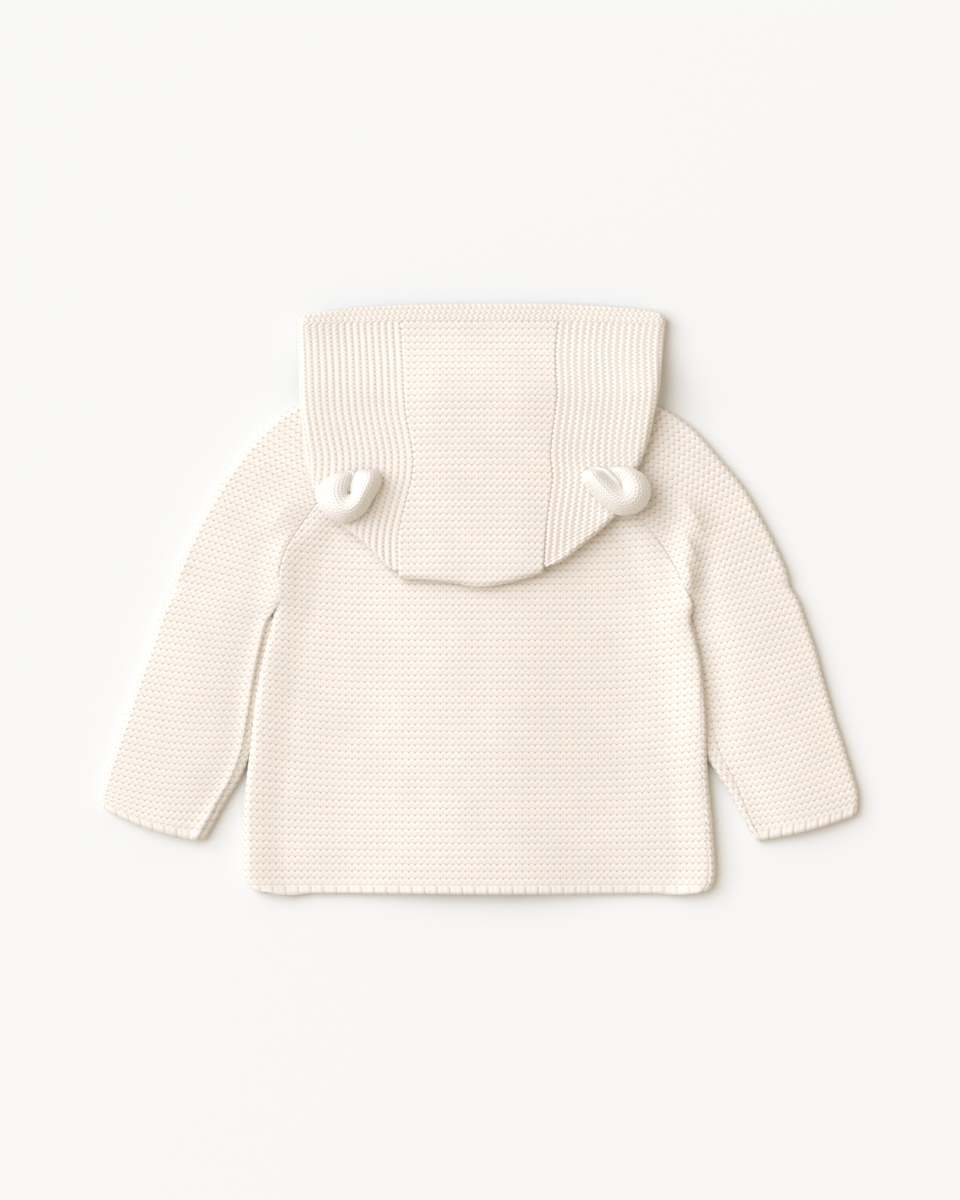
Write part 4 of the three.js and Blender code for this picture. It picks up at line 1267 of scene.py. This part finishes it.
@dataclass(frozen=True)
class KnitCotton:
    """Soft-spun cotton yarn, knitted.

    Attributes:
        name: The material's name.
        yarn: Colour of the stitches' heads.
        hollow: Colour painted between the stitches as the shade that falls there, where light only
            comes from yarn to yarn.
        depth: How far the stitches' drawn shape stands up, in metres.
        fibre: Width of the yarn's twisted plies, in millimetres.
        fuzz: How far the plies stand up, in metres.
    """

    name: str
    yarn: str
    hollow: str
    depth: float
    fibre: float
    fuzz: float

    def ridges(
        self, tree: bpy.types.NodeTree, arch: bpy.types.Node, along: bpy.types.NodeSocket
    ) -> bpy.types.Node:
        """Height of the ridges, whose valleys arch round the heads and fade between them."""
        bent = add_node(tree, MATH, {0: arch, 1: SCALLOP, 2: along}, operation="MULTIPLY_ADD")
        middle = 0.5 - SCALLOP_MEAN * SCALLOP
        moved = add_node(tree, MATH, {0: bent, 1: middle}, operation="ADD")
        centred = add_node(tree, MATH, {0: moved}, operation="FRACT")
        off = add_node(tree, MATH, {0: centred, 1: 0.5}, operation="SUBTRACT")
        gap = add_node(tree, MATH, {0: off}, operation="ABSOLUTE")
        limits = {0: gap, 1: 0.0, 2: VALLEY_HALF, 3: 1.0, 4: 0.0}
        valley = add_node(tree, RANGE, limits, interpolation_type="SMOOTHSTEP")
        cusp = add_node(tree, MATH, {0: arch, 1: -0.45, 2: 1.0}, operation="MULTIPLY_ADD")
        line = add_node(tree, MATH, {0: valley, 1: cusp}, operation="MULTIPLY")
        return add_node(tree, MATH, {0: 1.0, 1: line}, operation="SUBTRACT")

    def heads(
        self, tree: bpy.types.NodeTree, arch: bpy.types.Node, along: bpy.types.NodeSocket
    ) -> bpy.types.Node:
        """Height of the heads, with a dot under each and a short stroke that parts it from the next."""
        under = add_node(tree, RANGE, {0: arch, 1: 0.7, 2: 1.0, 3: 0.0, 4: 1.0})
        near = band(tree, along, DOT_PLACE, 0.3, 1.0)
        dot = add_node(tree, MATH, {0: near, 1: under}, operation="MULTIPLY")
        pitted = add_node(tree, MATH, {0: dot, 1: -0.65, 2: 1.0}, operation="MULTIPLY_ADD")
        beside = add_node(tree, RANGE, {0: arch, 1: 0.0, 2: 0.4, 3: 0.6, 4: 0.0})
        span = band(tree, along, STROKE_PLACE, 0.0, 0.8)
        stroke = add_node(tree, MATH, {0: beside, 1: span}, operation="MULTIPLY")
        parted = add_node(tree, MATH, {0: 1.0, 1: stroke}, operation="SUBTRACT")
        return add_node(tree, MATH, {0: pitted, 1: parted}, operation="MULTIPLY")

    def stitches(self, tree: bpy.types.NodeTree) -> bpy.types.Node:
        """Height of the stitches from 0 to 1, and of the bars where an edge is cast off."""
        stored = add_node(tree, "ShaderNodeAttribute", attribute_name="stitch")
        part = add_node(tree, "ShaderNodeSeparateXYZ", {0: stored.outputs["Vector"]})
        across, along, height = part.outputs
        turn = add_node(tree, MATH, {0: across, 1: math.pi}, operation="MULTIPLY")
        wave = add_node(tree, MATH, {0: turn}, operation="COSINE")
        arch = add_node(tree, MATH, {0: wave}, operation="ABSOLUTE")
        parts = {0: self.ridges(tree, arch, along), 1: self.heads(tree, arch, along)}
        drawn = add_node(tree, MATH, parts, operation="MULTIPLY")
        edging = add_node(tree, "ShaderNodeAttribute", attribute_name="bars")
        return add_node(tree, "ShaderNodeMix", {0: edging.outputs["Fac"], 2: drawn, 3: height})

    def colour(
        self, tree: bpy.types.NodeTree, shape: bpy.types.Node, place: bpy.types.NodeSocket
    ) -> bpy.types.Node:
        """The yarn's colour, with warmer shade painted into the hollows between the stitches, and
        drifting a little over the cloth.
        """
        # Painted shade: where the drawn stitches sink, in the valleys, dots, strokes and cast-off
        # slots, the colour turns to the darker, warmer hollow colour
        limits = {0: shape, 1: 0.0, 2: 0.75, 3: 0.0, 4: 1.0}
        lit = add_node(tree, RANGE, limits, interpolation_type="SMOOTHSTEP")
        ends = {0: lit, 6: linear(self.hollow), 7: linear(self.yarn)}
        yarn_with_painted_shade = add_node(tree, "ShaderNodeMix", ends, data_type="RGBA")
        drift = add_node(tree, NOISE, {"Vector": place, "Scale": 45.0, "Detail": 2.0})
        shade = add_node(tree, RANGE, {0: drift, 1: 0.3, 2: 0.7, 3: 0.96, 4: 1.0})
        scaled = {0: yarn_with_painted_shade.outputs[2], "Scale": shade.outputs[0]}
        return add_node(tree, "ShaderNodeVectorMath", scaled, operation="SCALE")

    def bump(
        self, tree: bpy.types.NodeTree, shape: bpy.types.Node, place: bpy.types.NodeSocket
    ) -> bpy.types.Node:
        """The stitches' fine relief, with the yarn's plies on it."""
        scale = 1000 / self.fibre
        plies = add_node(
            tree, NOISE, {"Vector": place, "Scale": scale, "Detail": 2.0, "Roughness": 0.6}
        )
        stitches = add_node(
            tree, "ShaderNodeBump", {"Height": shape, "Distance": self.depth, "Strength": 0.45}
        )
        return add_node(
            tree,
            "ShaderNodeBump",
            {"Height": plies, "Distance": self.fuzz, "Strength": 0.5, "Normal": stitches},
        )

    def material(self) -> bpy.types.Material:
        """Builds the material: rounded heads, warm shade painted into the hollows, and a faint fuzz of
        plies.
        """
        material = bpy.data.materials.new(self.name)
        material.use_nodes = True
        tree = material.node_tree
        tree.nodes.clear()
        shape = self.stitches(tree)
        place = add_node(tree, "ShaderNodeTexCoord").outputs["Object"]
        inputs = {
            "Base Color": self.colour(tree, shape, place),
            "Roughness": 0.92,
            "IOR": 1.5,
            "Specular IOR Level": 0.25,
            "Sheen Weight": 0.15,
            "Sheen Roughness": 0.5,
            "Normal": self.bump(tree, shape, place),
        }
        cloth = add_node(tree, "ShaderNodeBsdfPrincipled", inputs)
        add_node(tree, "ShaderNodeOutputMaterial", {0: cloth})
        return material


# Undyed cream cotton, spun soft and knitted in ridges: matt, with warm shade painted between its
# stitches
GARTER_COTTON = KnitCotton("knitted cream cotton", "#ECE5D9", "#CDB28F", 0.00025, 0.5, 0.00012)
# Whiter combed cotton in plain knitting for the ears: matt and almost smooth, its stitches small, with
# shade painted between them
COMBED_COTTON = KnitCotton("fine-knitted combed cotton", "#EFEAE1", "#D3C3AE", 0.00025, 0.35, 0.00012)


# How many rings Blender's wave texture draws in a metre at scale 1
WAVES_PER_UNIT = 20


@dataclass(frozen=True)
class TurnedBeech:
    """Turned and oiled beech of the buttons: pale brown, satin, with fine rings.

    Attributes:
        early: Colour of the softer wood.
        late: Colour of the rings.
        ring: Spacing of the rings in millimetres.
    """

    early: str = "#CFA878"
    late: str = "#B98D5C"
    ring: float = 1.6

    def material(self) -> bpy.types.Material:
        """Builds the material."""
        material = bpy.data.materials.new("turned oiled beech")
        material.use_nodes = True
        tree = material.node_tree
        tree.nodes.clear()
        place = add_node(tree, "ShaderNodeTexCoord").outputs["Object"]
        scale = 1000 / (WAVES_PER_UNIT * self.ring)
        wave = {"Vector": place, "Scale": scale, "Distortion": 2.0}
        rings = add_node(tree, "ShaderNodeTexWave", wave)
        ends = {0: rings, 6: linear(self.early), 7: linear(self.late)}
        colour = add_node(tree, "ShaderNodeMix", ends, data_type="RGBA")
        inputs = {"Base Color": colour.outputs[2], "Roughness": 0.45, "IOR": 1.5}
        wood = add_node(tree, "ShaderNodeBsdfPrincipled", inputs)
        add_node(tree, "ShaderNodeOutputMaterial", {0: wood})
        return material


@dataclass(frozen=True)
class Studio:
    """White paper under the garment, the camera above it, and the light.

    Attributes:
        paper: Colour of the paper.
        view: Width and height of the picture at the cloth, in metres.
        centre: Where the camera's axis meets the paper.
        cloth_height: Mean height of the cloth, where view is measured.
        distance: Height of the camera.
        key: Power of the soft lamp, in watts.
        key_place: Where the lamp stands.
        key_size: Width of the lamp.
        key_colour: Colour of the lamp, cooler than the light from all round.
        sky: Strength of the light from all round.
        sky_colour: Its colour, warm as off pale walls.
    """

    paper: str = "#E8E7E1"
    view: tuple[float, float] = (0.576, 0.720)
    centre: tuple[float, float] = (0.0004, -0.0006)
    cloth_height: float = 0.009
    distance: float = 3.0
    key: float = 9150.0
    key_place: tuple[float, float, float] = (-16.8, 7.4, 19.2)
    key_size: float = 26.0
    key_colour: tuple[float, float, float] = (0.704, 0.803, 1.0)
    sky: float = 0.66
    sky_colour: tuple[float, float, float, float] = (1.0, 0.89, 0.76, 1.0)

    def build(self) -> None:
        """Builds the floor, the camera, the lamp and the world."""
        paper = bpy.data.materials.new("matt white paper")
        paper.use_nodes = True
        face = paper.node_tree.nodes["Principled BSDF"]
        face.inputs["Base Color"].default_value = linear(self.paper)
        face.inputs["Roughness"].default_value = 1.0
        face.inputs["Specular IOR Level"].default_value = 0.1
        bpy.ops.mesh.primitive_plane_add(size=6)
        floor = bpy.context.object
        floor.name = "paper"
        floor.data.materials.append(paper)
        floor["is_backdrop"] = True
        lens = bpy.data.cameras.new("camera")
        lens.sensor_fit = "AUTO"
        lens.lens = lens.sensor_width * (self.distance - self.cloth_height) / self.view[1]
        lens.clip_end = 20
        camera = bpy.data.objects.new("camera", lens)
        camera.location = (*self.centre, self.distance)
        bpy.context.scene.collection.objects.link(camera)
        bpy.context.scene.camera = camera
        lamp = bpy.data.lights.new("key", "AREA")
        lamp.energy = self.key
        lamp.size = self.key_size
        lamp.color = self.key_colour
        holder = bpy.data.objects.new("key", lamp)
        holder.location = self.key_place
        holder.rotation_euler = (-Vector(self.key_place)).to_track_quat("-Z", "Y").to_euler()
        bpy.context.scene.collection.objects.link(holder)
        world = bpy.data.worlds.new("studio")
        world.use_nodes = True
        sky = world.node_tree.nodes["Background"]
        sky.inputs["Color"].default_value = self.sky_colour
        sky.inputs["Strength"].default_value = self.sky
        bpy.context.scene.world = world
        bpy.context.scene.view_settings.view_transform = "Standard"


def corners(bounds: Iterable[Vector]) -> list[list[float]]:
    """Two corners as plain lists."""
    return [[float(c) for c in corner] for corner in bounds]


def main() -> None:
    """Builds the cardigan on its frame."""
    logging.basicConfig(level=logging.INFO, format="%(message)s")
    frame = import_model()
    size = {"frame": corners(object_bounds())}
    cotton = GARTER_COTTON.material()
    combed = COMBED_COTTON.material()
    Body().build(cotton)
    Sleeve(Side.LEFT, valley=0.4, hump=1.8).build(cotton)
    Sleeve(Side.RIGHT, valley=2.4, hump=0.0).build(cotton)
    HoodCentre().build(cotton)
    for side in Side:
        HoodSide(side).build(cotton)
    HoodBand().build(cotton)
    for side in Side:
        Ear(side).build(combed)
    beech = TurnedBeech().material()
    for k in range(1, 6):
        button = frame["nodes"][f"button_{k}"]
        button.data.materials.clear()
        button.data.materials.append(beech)
        log.info("%s: turned disc", button.name)
    Studio().build()
    size["scene"] = corners(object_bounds())


if __name__ == "__main__":
    main()
